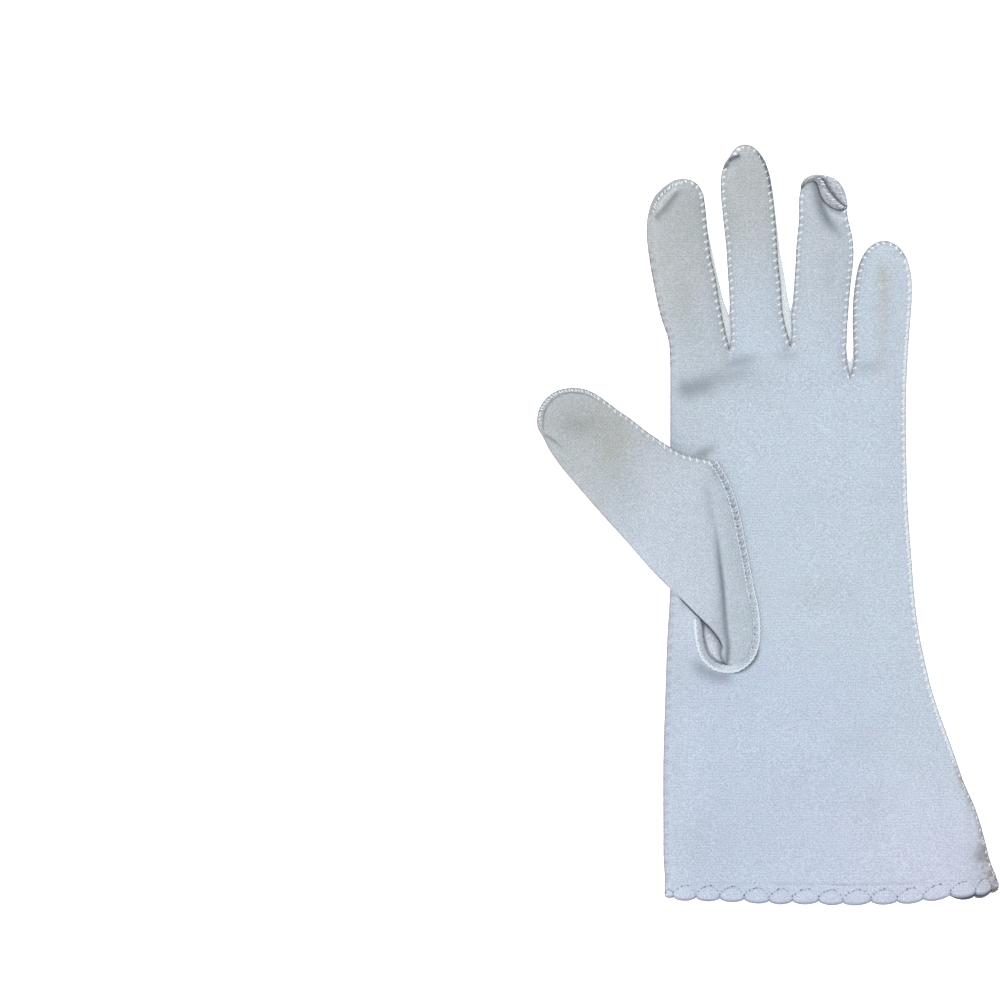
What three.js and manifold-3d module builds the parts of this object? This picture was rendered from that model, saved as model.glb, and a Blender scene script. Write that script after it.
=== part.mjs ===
// Cloth dress glove for the left hand, lying palm up.
// Millimetres. +X runs towards the little finger, +Y towards the fingertips, +Z up.
// The palm and back are one cloth, folded on the forefinger side and sewn on the other.
// The thumb and the strips between the fingers are sewn in, and a shell edge finishes
// the opening for the wrist.
import * as THREE from "three";
import { mergeVertices } from "three/addons/utils/BufferGeometryUtils.js";
import Module from "manifold-3d";

const { clamp, lerp } = THREE.MathUtils;

// Driving dimensions
const WALL = 1;
const GAP = 0.3;

// Fingers: height of the full finger, and the width below which a tip thins
const FINGER_HEIGHT = 7.4;
const FINGER_TIP_WIDTH = 11;

// Side strips: how far they reach round a finger's edge, and the heights they lie between
const STRIP_REACH = 1.7;
const STRIP_LOW = 1.7;
const STRIP_HIGH = 5.2;

// Thumb: the step it makes over the folded side of the palm, and its run down from there
const THUMB_STEP = 4.2;
const THUMB_RUN = 18;
const HOLE_FOOT = 3;
const HOLE_TOP = 10.4;

// Shell edge: width of a shell, depth of the straight band and of the shell below it
const SHELL_PITCH = 8.3;
const SHELL_BAND = 1.7;
const SHELL_DROP = 2.9;
const SHELL_PUFF = 0.5;
const SHELL_STEPS = 5;

// Turns rows of numbers into rows with named columns.
const table = (names, rows) => {
  const keys = names.split(" ");
  return rows.map((row) => Object.fromEntries(keys.map((key, i) => [key, row[i]])));
};

// The hand from the wrist's opening to the knuckles. rise is how far a row's right end
// climbs above its y.
const HAND_ROWS = table("y left right height rise", [
  [-122.1, -33.9, 76.6, 8.2, 4.4],
  [-113, -34.4, 73.9, 8.5, 3.4],
  [-100, -34.7, 69.5, 8.7, 2],
  [-82, -34.7, 64, 8.7, 0.8],
  [-62, -34.3, 56.9, 8.6, 0],
  [-45, -33.9, 52.2, 8.6, 0],
  [-25, -32.9, 49, 8.6, 0],
  [-5, -32.5, 47.4, 8.6, 0],
  [15, -32.4, 46.4, 8.5, 0],
  [32, -32.4, 46.2, 8.3, 0],
  [44, -32.4, 46.3, 7.9, 0],
  [52, -32.5, 46.5, 6.8, 0],
  [58, -32.6, 46.8, 4.6, 0],
]);

// The fingers from their roots inside the hand to their tips
const FINGER_ROWS = {
  index: table("y left right", [
    [47, -32.4, -14.6],
    [60, -32.6, -13.9],
    [70, -35.7, -14],
    [78, -37.4, -15.7],
    [88.5, -39.4, -18.7],
    [96.5, -40.4, -20.4],
    [104.5, -39.7, -20.7],
    [110, -37.6, -21.4],
    [113, -34.6, -22.7],
    [115, -31.2, -25],
    [115.8, -29.4, -26.8],
  ]),
  middle: table("y left right", [
    [47, -15, 8],
    [60, -14.4, 7.8],
    [70.8, -13.6, 7.4],
    [83.2, -13.7, 5.3],
    [94, -14.7, 4],
    [104.5, -15.7, 2.3],
    [115.2, -15.7, 1.3],
    [120.6, -14.7, -0.3],
    [124, -12.6, -2.3],
    [126.2, -10.2, -4.8],
    [126.9, -8.8, -6.4],
  ]),
  ring: table("y left right", [
    [47, 7.2, 28],
    [60, 7.4, 27.4],
    [70.8, 7.3, 27.1],
    [83.2, 8.7, 28.1],
    [94, 9.4, 28.4],
    [102, 10.4, 26.8],
    [110, 10.5, 26],
    [113.6, 11.2, 24.8],
    [116, 13.4, 21.6],
    [116.8, 14.8, 17.6],
  ]),
  little: table("y left right", [
    [41, 27.2, 46.3],
    [49, 27.2, 46.4],
    [56, 27.6, 46.7],
    [70, 28.1, 47.8],
    [80.5, 29.1, 48.1],
    [86, 30.2, 47.4],
    [90.5, 32.1, 45.6],
    [93.4, 35, 42.7],
    [94.8, 38, 40.4],
  ]),
};

// The side strips: the fingers that each joins, and where it begins and ends on them
const STRIPS = table("left right foot leftTop rightTop", [
  ["index", "middle", 54, 108, 118],
  ["middle", "ring", 54, 118, 108],
  ["ring", "little", 46, 106, 88],
]);

// The thumb from its tip to the foot of its hole. Each row runs from the seam, or the
// far rim of the hole, to the folded lower edge.
const THUMB_ROWS = table("seamX seamY foldX foldY height", [
  [-70.2, 44.6, -72.8, 42.4, 3.2],
  [-65.5, 45.7, -76.1, 39.1, 4.9],
  [-59.5, 44.8, -77.5, 34.4, 6],
  [-54.3, 42, -76.4, 30.6, 6.4],
  [-49.4, 38.4, -73.4, 26, 6.6],
  [-42.8, 32.8, -68.8, 19.4, 6.7],
  [-36.1, 27.8, -61.8, 10.4, 6.8],
  [-28.7, 24.8, -54.2, 1.6, 6.8],
  [-22.6, 22.2, -46.2, -7.4, 6.8],
  [-17.2, 17.2, -38.4, -15, 6.8],
  [-13, 8.4, -32.2, -22, 6.6],
  [-9.4, -3.4, -26.4, -28.2, 6.2],
  [-6.7, -16.8, -23.6, -33.2, 5.6],
  [-4.7, -27.8, -22.2, -40, 4.9],
  [-3.7, -36.8, -19.2, -45.2, 4],
  [-5.4, -43.4, -14.8, -47.8, 3],
]);

// The rim of the hole in the palm that the thumb is sewn into
const HOLE_RIM = table("x y", [
  [-19.4, 18],
  [-15.6, 12],
  [-12.4, 4],
  [-9.4, -7],
  [-6.9, -21],
  [-5.4, -33],
  [-6.8, -41.4],
  [-10.6, -45],
  [-15.6, -44.4],
  [-19.8, -40.6],
  [-22.8, -33],
  [-25.6, -20],
  [-26.8, -4],
  [-25, 11],
]);

// Folds of the upper cloth: each is a valley that runs from one place to another
const HAND_FOLDS = table("x1 y1 x2 y2 width depth", [
  [-31, 51, -16, 49, 6, 1.4],
  [-11, 57.8, 7.3, 60.1, 5, 1.1],
  [31.4, 51.8, 39, 53, 5, 1.1],
  [-22.7, -51.5, -12, -52, 6, 1.4],
  [-37.4, 104.5, -28.4, 112.9, 3, 0.9],
  [-13, 125.3, -10, 121.9, 3, 1.2],
  [15.7, 113.6, 18, 108.6, 4, 1.8],
  [18, 108.6, 25.7, 105.9, 4, 1.8],
  [16.8, 106.9, 22.5, 97, 5, 0.8],
  [69, -107, 72.5, -120, 6, 1.2],
]);
const THUMB_FOLDS = table("x1 y1 x2 y2 width depth", [
  [-20, 15, -17.4, 1.7, 6, 2.2],
  [-17.4, 1.7, -15.6, -11.7, 6, 3.2],
  [-15.6, -11.7, -14, -28.4, 6, 3],
  [-14, -28.4, -12.4, -43.4, 6, 2],
  [-13.4, 9, -9.6, -8, 8, 2.2],
  [-9.6, -8, -7.2, -36, 8, 1.6],
  [-75, 28.4, -69.5, 23.4, 3, 0.9],
]);

// How each kind of piece is rounded: fullness squares its crown off, and lip is the share
// of its height at which its edge lies. Each face counts the points round a section and
// the sections along it.
const HAND_FORM = { fullness: 2.6, lip: 0.2, outer: [32, 23], inner: [22, 12] };
const FINGER_FORM = { fullness: 3.2, lip: 0.42, outer: [16, 15], inner: [12, 9] };
const THUMB_FORM = { fullness: 2.8, lip: 0.3, outer: [22, 24], inner: [18, 19] };

const wasm = await Module();
wasm.setup();

// A ladder: the two long edges of a piece, and the values of the rungs between them
class Ladder {
  constructor(rows, firstEnd, secondEnd) {
    const edge = ([x, y]) => new THREE.CatmullRomCurve3(
      rows.map((row) => new THREE.Vector3(row[x], row[y], 0)), false, "centripetal");
    this.rows = rows;
    this.first = edge(firstEnd);
    this.second = edge(secondEnd);
  }

  // A named value at a share of the ladder's length
  value(name, share) {
    const place = clamp(share, 0, 1) * (this.rows.length - 1);
    const below = Math.min(Math.floor(place), this.rows.length - 2);
    return lerp(this.rows[below][name], this.rows[below + 1][name], place - below);
  }

  // The two ends of a rung. Past the ladder's end its edges run straight on.
  ends(share) {
    const inside = clamp(share, 0, 1);
    const past = share - inside;
    return [this.first, this.second].map((edge) => {
      const point = edge.getPoint(inside);
      if (past === 0) return point;
      const back = edge.getPoint(inside - 0.01 * Math.sign(past));
      return point.clone().addScaledVector(point.clone().sub(back), Math.abs(past) / 0.01);
    });
  }

  middle(share) {
    const [a, b] = this.ends(share);
    return a.add(b).multiplyScalar(0.5);
  }

  // The share at which a rung lies a distance in from the start or the end. A distance
  // below zero lies outside it.
  shareAt(distance, atEnd) {
    const start = atEnd ? 1 : 0;
    const step = 0.001 * Math.sign(distance) * (atEnd ? -1 : 1);
    const origin = this.middle(start);
    let share = start;
    while (this.middle(share).distanceTo(origin) < Math.abs(distance)) share += step;
    return share;
  }
}

// How deep the folds press the upper cloth at a place
const foldDepth = (folds, x, y) => Math.max(...folds.map((fold) => {
  const run = new THREE.Vector2(fold.x2 - fold.x1, fold.y2 - fold.y1);
  const from = new THREE.Vector2(x - fold.x1, y - fold.y1);
  const along = clamp(from.dot(run) / run.lengthSq(), 0, 1);
  const away = from.distanceTo(run.multiplyScalar(along));
  return fold.depth * Math.exp(-2 * (2 * away / fold.width) ** 2);
}));

// How high a crown stands across a piece: 1 in the middle and 0 at its edges
const crown = (across, fullness) => (1 - Math.abs(across) ** fullness) ** (1 / fullness);

// A point of a section: flat below, crowned above, its edges at the lip
const sectionPoint = (ladder, form, folds, ground, inset, share, angle) => {
  const [a, b] = ladder.ends(share);
  const height = ladder.value("height", share);
  const across = Math.cos(angle);
  const reach = 0.5 + across * (0.5 - inset / a.distanceTo(b));
  const x = lerp(a.x, b.x, reach);
  const y = lerp(a.y, b.y, reach) + ladder.value("rise", share) * Math.max(reach, 0) ** 6;
  const lip = form.lip * height;
  let z = lip;
  if (angle < Math.PI) {
    const rounded = crown(across, form.fullness);
    z += (height - inset - lip) * rounded;
    z -= Math.min(foldDepth(folds, x, y), (height - WALL - lip) * 0.9) * rounded;
  } else {
    z -= (lip - inset) * Math.min(1, 1.25 * crown(across, 3.5));
  }
  return [x, y, z + ground(x, y)];
};

// A closed cloth form lofted along a ladder. inset draws it in by the cloth's thickness
// for the hollow, and trim cuts it short at its start and end.
const pouch = (ladder, form, folds, ground, inset = 0, trim = [inset, inset]) => {
  const [sides, rungs] = inset > 0 ? form.inner : form.outer;
  const positions = [];
  const indices = [];
  const from = ladder.shareAt(trim[0], false);
  const to = ladder.shareAt(trim[1], true);
  for (let i = 0; i < rungs; i += 1) {
    const share = lerp(from, to, i / (rungs - 1));
    for (let j = 0; j < sides; j += 1) {
      const angle = 2 * Math.PI * j / sides;
      positions.push(...sectionPoint(ladder, form, folds, ground, inset, share, angle));
    }
  }
  for (let i = 0; i < rungs - 1; i += 1) {
    for (let j = 0; j < sides; j += 1) {
      const near = [i * sides + j, i * sides + (j + 1) % sides];
      const far = near.map((index) => index + sides);
      indices.push(near[0], far[0], far[1], near[0], far[1], near[1]);
    }
  }
  const lastRing = (rungs - 1) * sides;
  for (let j = 1; j < sides - 1; j += 1) {
    indices.push(0, j, j + 1, lastRing, lastRing + j + 1, lastRing + j);
  }
  const geometry = new THREE.BufferGeometry();
  geometry.setAttribute("position", new THREE.Float32BufferAttribute(positions, 3));
  geometry.setIndex(indices);
  return geometry;
};

// A closed mesh as a solid that can be joined and cut
const solidOf = (geometry) => {
  const plain = new THREE.BufferGeometry();
  plain.setAttribute("position", geometry.getAttribute("position"));
  plain.setIndex(geometry.index);
  const merged = mergeVertices(plain, 1e-4);
  return new wasm.Manifold(new wasm.Mesh({
    numProp: 3,
    vertProperties: new Float32Array(merged.getAttribute("position").array),
    triVerts: new Uint32Array(merged.index.array),
  }));
};

// A flat outline of points, raised from one height to another
const slab = (points, low, high) => {
  const shape = new THREE.Shape(points);
  const geometry = new THREE.ExtrudeGeometry(shape, { depth: high - low, bevelEnabled: false });
  geometry.translate(0, 0, low);
  geometry.setIndex([...Array(geometry.getAttribute("position").count).keys()]);
  return solidOf(geometry);
};

const join = (solids) => solids.reduce((whole, solid) => whole.add(solid));
const flatGround = () => 0;

// The hand and its four fingers
const handLadder = new Ladder(HAND_ROWS, ["left", "y"], ["right", "y"]);
const fingerLadders = Object.fromEntries(Object.entries(FINGER_ROWS).map(([name, rows]) => {
  const full = rows.map((row, i) => {
    const tip = Math.sqrt(Math.min(1, (row.right - row.left) / FINGER_TIP_WIDTH));
    const root = i === 0 ? 0.72 : 1;
    return { ...row, height: FINGER_HEIGHT * tip * root, rise: 0 };
  });
  return [name, new Ladder(full, ["left", "y"], ["right", "y"])];
}));

const handForm = (inset, openEnd) => join([
  solidOf(pouch(handLadder, HAND_FORM, HAND_FOLDS, flatGround, inset, [openEnd, inset])),
  ...Object.values(fingerLadders).map((ladder) => (
    solidOf(pouch(ladder, FINGER_FORM, HAND_FOLDS, flatGround, inset))
  )),
]);

// The height at which the top of the hand lies at a place
const handTop = (x, y) => {
  const spread = HAND_ROWS.length - 1;
  const i = clamp(HAND_ROWS.findIndex((row) => row.y > y), 1, spread);
  const part = (y - HAND_ROWS[i - 1].y) / (HAND_ROWS[i].y - HAND_ROWS[i - 1].y);
  const at = (name) => lerp(HAND_ROWS[i - 1][name], HAND_ROWS[i][name], clamp(part, 0, 1));
  const half = (at("right") - at("left")) / 2;
  const across = clamp((x - at("left") - half) / half, -1, 1);
  const lip = HAND_FORM.lip * at("height");
  return { edge: at("left"), top: lip + (at("height") - lip) * crown(across, HAND_FORM.fullness) };
};

// The height at which the thumb lies: on the palm, then down to the surface beside it
const thumbGround = (x, y) => {
  const { edge, top } = handTop(x, y);
  const slope = THUMB_STEP * clamp(1 + (x - edge) / THUMB_RUN, 0, 1);
  const over = x > edge ? top + GAP : 0;
  return Math.max(over, slope * slope / THUMB_STEP);
};

const holeRim = new THREE.CatmullRomCurve3(
  HOLE_RIM.map((row) => new THREE.Vector3(row.x, row.y, 0)), true, "centripetal");
const hole = slab(
  holeRim.getPoints(36).slice(0, -1).reverse().map((p) => new THREE.Vector2(p.x, p.y)),
  HOLE_FOOT, HOLE_TOP);

// Where an edge of a ladder passes a height on the glove
const edgeAt = (edge, y) => {
  let [low, high] = [0, 1];
  for (let i = 0; i < 24; i += 1) {
    const middle = (low + high) / 2;
    [low, high] = edge.getPoint(middle).y < y ? [middle, high] : [low, middle];
  }
  return new THREE.Vector2(edge.getPoint(low).x, y);
};

// The space that a side strip takes up, grown by a clearance
const stripSpace = (strip, clearance) => {
  const rightEdge = fingerLadders[strip.left].second;
  const leftEdge = fingerLadders[strip.right].first;
  const reach = STRIP_REACH + clearance;
  const side = (edge, foot, top, shift) => {
    const count = 8;
    return Array.from({ length: count + 1 }, (_, i) => {
      const point = edgeAt(edge, lerp(foot, top, i / count));
      point.x += shift;
      return point;
    });
  };
  const foot = strip.foot - clearance;
  const left = side(rightEdge, foot, strip.leftTop + clearance, -reach);
  const right = side(leftEdge, foot, strip.rightTop + clearance, reach).reverse();
  const leftTip = left.at(-1).clone().add(new THREE.Vector2(2 * reach, 0));
  const rightTip = right[0].clone().sub(new THREE.Vector2(2 * reach, 0));
  const outline = [...left, leftTip, rightTip, ...right].reverse();
  return slab(outline, STRIP_LOW - clearance, STRIP_HIGH + clearance);
};

// The shell edge: a closed band round the opening, with a puffed shell every pitch
const shellEdge = () => {
  const samples = 720;
  const ring = Array.from({ length: samples }, (_, i) => {
    const angle = 2 * Math.PI * i / samples;
    const at = (inset) => new THREE.Vector3(...sectionPoint(
      handLadder, HAND_FORM, HAND_FOLDS, flatGround, inset, 0, angle));
    const core = at(WALL / 2);
    return { core, out: at(0).sub(core).setY(0).normalize() };
  });
  const lengths = [0];
  for (let i = 1; i <= samples; i += 1) {
    lengths.push(lengths[i - 1] + ring[i % samples].core.distanceTo(ring[i - 1].core));
  }
  const shells = Math.round(lengths[samples] / SHELL_PITCH);
  const steps = shells * SHELL_STEPS;
  const half = WALL / 2;
  const positions = [];
  const indices = [];
  const round = 6;
  for (let i = 0; i < steps; i += 1) {
    const length = lengths[samples] * i / steps;
    const { core, out } = ring[lengths.findIndex((value) => value > length + 1e-6) - 1];
    const leaf = Math.sin(Math.PI * (i % SHELL_STEPS) / SHELL_STEPS) ** 0.7;
    const drop = SHELL_BAND + SHELL_DROP * leaf;
    const section = table("down outward", [
      [0, half],
      [0.55 * drop, half + SHELL_PUFF * leaf],
      [0.9 * drop, half],
      [drop, 0],
      [0.9 * drop, -half],
      [0, -half],
    ]);
    for (const { down, outward } of section) {
      const z = core.z + out.z * outward;
      positions.push(core.x + out.x * outward, core.y - GAP - down, Math.max(z, 0));
    }
    for (let j = 0; j < round; j += 1) {
      const near = [i * round + j, i * round + (j + 1) % round];
      const far = near.map((index) => (index + round) % (steps * round));
      indices.push(near[0], far[0], far[1], near[0], far[1], near[1]);
    }
  }
  const geometry = new THREE.BufferGeometry();
  geometry.setAttribute("position", new THREE.Float32BufferAttribute(positions, 3));
  geometry.setIndex(indices);
  return solidOf(geometry);
};

// The pieces
const outside = handForm(0, 0);
const hollow = handForm(WALL, -4);
const shell = outside.subtract(hollow);

const strips = STRIPS.map((strip) => ({
  name: `fourchette_${strip.left}_${strip.right}`,
  solid: shell.intersect(stripSpace(strip, 0)),
}));
const trank = STRIPS.reduce(
  (cloth, strip) => cloth.subtract(stripSpace(strip, GAP)), shell.subtract(hole));

const thumbLadder = new Ladder(
  THUMB_ROWS.map((row) => ({ ...row, rise: 0 })), ["seamX", "seamY"], ["foldX", "foldY"]);
const thumbForm = (inset) => solidOf(
  pouch(thumbLadder, THUMB_FORM, THUMB_FOLDS, thumbGround, inset));
const thumb = thumbForm(0).subtract(thumbForm(WALL)).subtract(hole).subtract(outside);

// The largest part of a cut solid, without the crumbs that a cut can leave
const mainPart = (solid) => solid.decompose().sort((a, b) => b.volume() - a.volume())[0];

const cloth = (color) => new THREE.MeshStandardMaterial({ color, roughness: 0.62, metalness: 0 });
const pieces = [
  { name: "trank", solid: trank, material: cloth(0xc3cfdc) },
  { name: "thumb", solid: thumb, material: cloth(0xb9c2c9) },
  ...strips.map((strip) => ({ ...strip, material: cloth(0xb4c0cc) })),
  { name: "scalloped_hem", solid: shellEdge(), material: cloth(0xccd6e4) },
];

const glove = new THREE.Group();
for (const { name, solid, material } of pieces) {
  const { vertProperties, triVerts } = mainPart(solid).getMesh();
  const geometry = new THREE.BufferGeometry();
  geometry.setAttribute("position", new THREE.BufferAttribute(vertProperties, 3));
  geometry.setIndex(new THREE.BufferAttribute(triVerts, 1));
  geometry.computeVertexNormals();
  const mesh = new THREE.Mesh(geometry, material);
  mesh.name = name;
  glove.add(mesh);
}

// The origin is in the middle of the surface that the glove lies on.
const bounds = new THREE.Box3().setFromObject(glove);
const centre = bounds.getCenter(new THREE.Vector3());
glove.position.set(-centre.x, -centre.y, -bounds.min.z);
glove.updateMatrixWorld(true);

export default glove;
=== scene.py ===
"""Cloth dress glove for the left hand, lying palm up on a whitish floor.

The tables are in millimetres: +X runs towards the little finger, +Y towards the
fingertips and +Z up. Their datum lies DATUM_X to the left of the part's origin.
"""
import logging
import math
from collections.abc import Iterator
from dataclasses import dataclass, field
from enum import Enum, IntEnum

import bpy
import numpy as np
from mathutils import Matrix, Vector, geometry, kdtree


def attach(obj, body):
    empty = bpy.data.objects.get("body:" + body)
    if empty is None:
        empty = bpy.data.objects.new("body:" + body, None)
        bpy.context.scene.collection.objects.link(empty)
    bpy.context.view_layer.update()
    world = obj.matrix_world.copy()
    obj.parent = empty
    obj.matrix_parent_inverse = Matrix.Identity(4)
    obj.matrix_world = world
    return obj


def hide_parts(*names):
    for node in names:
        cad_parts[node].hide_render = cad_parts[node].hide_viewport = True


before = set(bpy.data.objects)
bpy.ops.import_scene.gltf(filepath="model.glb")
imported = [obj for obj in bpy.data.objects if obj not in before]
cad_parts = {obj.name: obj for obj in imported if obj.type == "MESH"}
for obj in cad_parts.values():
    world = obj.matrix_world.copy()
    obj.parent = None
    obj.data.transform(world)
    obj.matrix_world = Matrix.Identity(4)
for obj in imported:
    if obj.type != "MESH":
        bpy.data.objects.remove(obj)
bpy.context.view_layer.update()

log = logging.getLogger("glove")

MM = 0.001
DATUM_X = 0.45
CLOTH = 0.5

# Heights in millimetres at which the cloth's edges lie
FOLD_TOP = 2.4
FOLD_LOW = 1.2
SEAM_TOP = 1.75
SEAM_LOW = 1.2
STRIP_TOP = 4.8
STRIP_LOW = 0.9
STRIP_RAMP = 15.0
BACK_REST = 0.27

# Where along a seam its first stitch is, and how far apart the hand's stitches are, in millimetres
FIRST_STITCH = 0.6
STITCH_PITCH = 2.5

Point = tuple[float, float]


class Join(Enum):
    """How a run of an outline is closed."""

    FOLD = "fold"
    SEAM = "seam"
    STRIP = "strip"
    WELT = "welt"
    OPEN = "open"


class Run(IntEnum):
    """The runs of the hand's outline, in order."""

    FOLD_SIDE = 0
    INDEX_TIP = 1
    INDEX_INNER = 2
    MIDDLE_LEFT = 3
    MIDDLE_TIP = 4
    MIDDLE_RIGHT = 5
    RING_LEFT = 6
    RING_TIP = 7
    RING_RIGHT = 8
    LITTLE_LEFT = 9
    LITTLE_TIP = 10
    OUTER_SEAM = 11
    WRIST = 12


class ThumbRun(IntEnum):
    """The runs of the thumb's outline, in order."""

    TIP = 0
    SEAM = 1
    WELT = 2
    FOLD = 3


# The palm side of the hand, from the wrist up its folded side and round the fingers
PALM_SIDE = (
    (-34, -120.6), (-34.7, -112), (-34.8, -101.9), (-34.8, -78.5), (-34.2, -58.5), (-33.5, -38.4),
    (-32.5, -20), (-32.5, 1.7), (-32.5, 21.7), (-32.5, 41.8), (-32.6, 56.4), (-33.1, 61.8), (-35.7, 69.8),
    (-37.5, 77.8), (-39.4, 88.5), (-40.4, 97.9), (-39.7, 104.5), (-37.7, 109.6), (-34.7, 112.7),
)
INDEX_TIP = (
    (-34.7, 112.7), (-32.4, 114.4), (-29.4, 115.4), (-26.1, 115.1), (-23.4, 113.4), (-21.7, 110.2),
)
INDEX_INNER = (
    (-21.7, 110.2), (-21.1, 105.9), (-20.5, 99), (-19.4, 89.6), (-17.9, 83.2), (-16.5, 74.6),
    (-15.1, 67.1), (-13.9, 62), (-12.9, 58.1),
)
MIDDLE_LEFT = (
    (-12.9, 58.1), (-12.4, 63.1), (-12.7, 70), (-13, 78.5), (-13.5, 85.5), (-13.9, 92.5), (-14.6, 99),
    (-15.4, 106.5), (-15.8, 111.9), (-15.5, 116.9), (-14.4, 120.9),
)
MIDDLE_TIP = (
    (-14.4, 120.9), (-12.8, 122.9), (-11.2, 125.3), (-9.4, 126.6), (-7, 126.9), (-4.7, 125.9),
    (-2.5, 123.7), (-1, 121.2),
)
MIDDLE_RIGHT = (
    (-1, 121.2), (0.3, 116.9), (1.1, 111.6), (1.8, 105.3), (2.6, 96.2), (3.1, 87.5), (3.9, 80.8),
    (4.4, 73.1), (5, 68.5), (6.2, 63.8), (7.5, 59.5),
)
RING_LEFT = (
    (7.5, 59.5), (7.9, 65.1), (7.7, 70.5), (8.3, 73.1), (8.7, 80.2), (9.2, 87.8), (9.5, 93.9), (10, 98.5),
    (10.4, 103.5), (10.4, 108.6), (11, 112.2),
)
RING_CREASE = (
    (11, 112.2), (11.7, 113.6), (13.2, 114.4), (15.3, 114.9), (16.6, 113.2), (17.7, 109.7), (19.9, 106.8),
    (22.3, 105.4), (24.4, 105), (26.2, 105.4),
)
RING_TIP_BACK = (
    (11, 112.2), (12.2, 114.6), (14.5, 116.4), (16.2, 116.7), (20.4, 116.1), (22.8, 114.9), (24.5, 113.1),
    (25.6, 110.9), (26, 107.5), (26.2, 105.4),
)
RING_RIGHT = (
    (26.2, 105.4), (26.5, 102.2), (27.7, 97.2), (28.3, 92.9), (28.2, 87.8), (27.5, 81.8), (26.9, 75.2),
    (26.4, 68.5), (26, 60.1), (26.1, 54.4), (27.2, 49.4),
)
LITTLE_LEFT = (
    (27.2, 49.4), (28.5, 54.4), (28.5, 59.1), (28.3, 64.5), (28.3, 69.8), (28.5, 75.2), (29.1, 80.5),
    (30.1, 85.8), (31.6, 89.7), (33.6, 92.5),
)
LITTLE_TIP = (
    (33.6, 92.5), (36.1, 94.2), (39.1, 94.8), (41.9, 93.9), (44.4, 91.9), (46.3, 88.8),
)
OUTER_SEAM = (
    (46.3, 88.8), (47.6, 83.8), (47.88, 77.8), (47.68, 72.5), (47.08, 65.1), (46.58, 57.8), (46.18, 50.1),
    (45.88, 35.1), (46.18, 18.4), (46.58, 5), (47.58, -8.3), (48.88, -25.1), (50.18, -35.1),
    (52.18, -45.1), (54.58, -55.1), (57.88, -65.1), (61.58, -75.2), (64.98, -85.2), (69.28, -95.2),
    (72.28, -105.2), (74.18, -112.6), (76.2, -117.4),
)
WRIST_EDGE = (
    (76.2, -117.4), (72.5, -118.4), (68.1, -119.1), (60.8, -119.9), (52.4, -120.4), (37.4, -120.6),
    (10.7, -120.6), (-34, -120.6),
)

# Where the cloth of the back shows past the palm side's edges
INDEX_INNER_BACK = (
    (-21.7, 110.2), (-21, 105.9), (-20.3, 99), (-18.9, 91.9), (-17, 83.2), (-14.9, 74.6), (-13.5, 70.6),
    (-13.1, 69.1),
)
MIDDLE_LEFT_BACK = ((-13.1, 69.1), (-12.8, 72.1), (-13.0, 78.5)) + MIDDLE_LEFT[4:]
MIDDLE_RIGHT_BACK = (
    (-1, 121.2), (0.5, 116.9), (1.5, 111.6), (2.3, 104.5), (3, 98.5), (3.6, 93.2), (4.6, 87), (5.7, 80.8),
    (6.4, 75.7), (7.4, 70.8),
)
RING_LEFT_BACK = ((7.4, 70.8), (8.1, 73.6)) + RING_LEFT[4:]
RING_RIGHT_BACK = RING_RIGHT[:-2] + ((26.2, 57.1), (26.5, 55.0), (27.2, 54.3))
LITTLE_LEFT_BACK = ((27.2, 54.3), (28.0, 55.0), (28.4, 57.4), (28.5, 60.6)) + LITTLE_LEFT[3:]

# The outlines of both sides of the hand, and how each of their runs is closed
PALM_RUNS = (
    PALM_SIDE, INDEX_TIP, INDEX_INNER, MIDDLE_LEFT, MIDDLE_TIP, MIDDLE_RIGHT, RING_LEFT, RING_CREASE,
    RING_RIGHT, LITTLE_LEFT, LITTLE_TIP, OUTER_SEAM, WRIST_EDGE,
)
BACK_RUNS = (
    PALM_SIDE, INDEX_TIP, INDEX_INNER_BACK, MIDDLE_LEFT_BACK, MIDDLE_TIP, MIDDLE_RIGHT_BACK,
    RING_LEFT_BACK, RING_TIP_BACK, RING_RIGHT_BACK, LITTLE_LEFT_BACK, LITTLE_TIP, OUTER_SEAM, WRIST_EDGE,
)
HAND_JOINS = (
    Join.FOLD, Join.SEAM, Join.STRIP, Join.STRIP, Join.SEAM, Join.STRIP, Join.STRIP, Join.SEAM,
    Join.STRIP, Join.STRIP, Join.SEAM, Join.SEAM, Join.OPEN,
)

# The rope-like welt round the thumb's hole, from its top down the palm side and round its foot
WELT = (
    (-18.6, 21), (-15.3, 15.7), (-12.8, 10), (-11, 3.9), (-9.4, -4.1), (-7.6, -13.2), (-6.1, -21.6),
    (-4.8, -27.6), (-4.2, -33.7), (-4.5, -39.2), (-6.4, -44), (-10, -47.1), (-13.4, -47.8), (-17.4, -47),
    (-20.9, -44), (-22.6, -39.7), (-23.3, -34.4), (-23.4, -30.7),
)
HOLE_FAR_SIDE = (
    (-23.4, -30.7), (-25.6, -20), (-26.8, -4), (-25, 11), (-22.6, 18), (-18.6, 21),
)

THUMB_TIP = (
    (-77.1, 34.7), (-76.5, 38.4), (-74.6, 41.5), (-71.8, 44), (-68.1, 45.4), (-64.1, 45.6), (-60.5, 45),
    (-56.8, 43.2),
)
THUMB_SEAM = (
    (-56.8, 43.2), (-53.6, 40.9), (-50.3, 38.3), (-45.9, 35.3), (-40.6, 31.1), (-35.7, 27.8),
    (-32.1, 25.4), (-28.9, 23.7), (-22.8, 22.1), (-20.4, 21.7), (-18.6, 21),
)
THUMB_FOLD = (
    (-13.2, -47.3), (-15.2, -45), (-15.9, -42.4), (-15.8, -40.3), (-17.4, -37.1), (-20.1, -33.9),
    (-24.2, -29.9), (-32.4, -21.4), (-39, -14.7), (-47.1, -5.4), (-55.2, 3.5), (-63.3, 12.8),
    (-69.4, 20.1), (-73, 25.4), (-75, 29.4), (-76.7, 32.4), (-77.1, 34.7),
)

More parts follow.
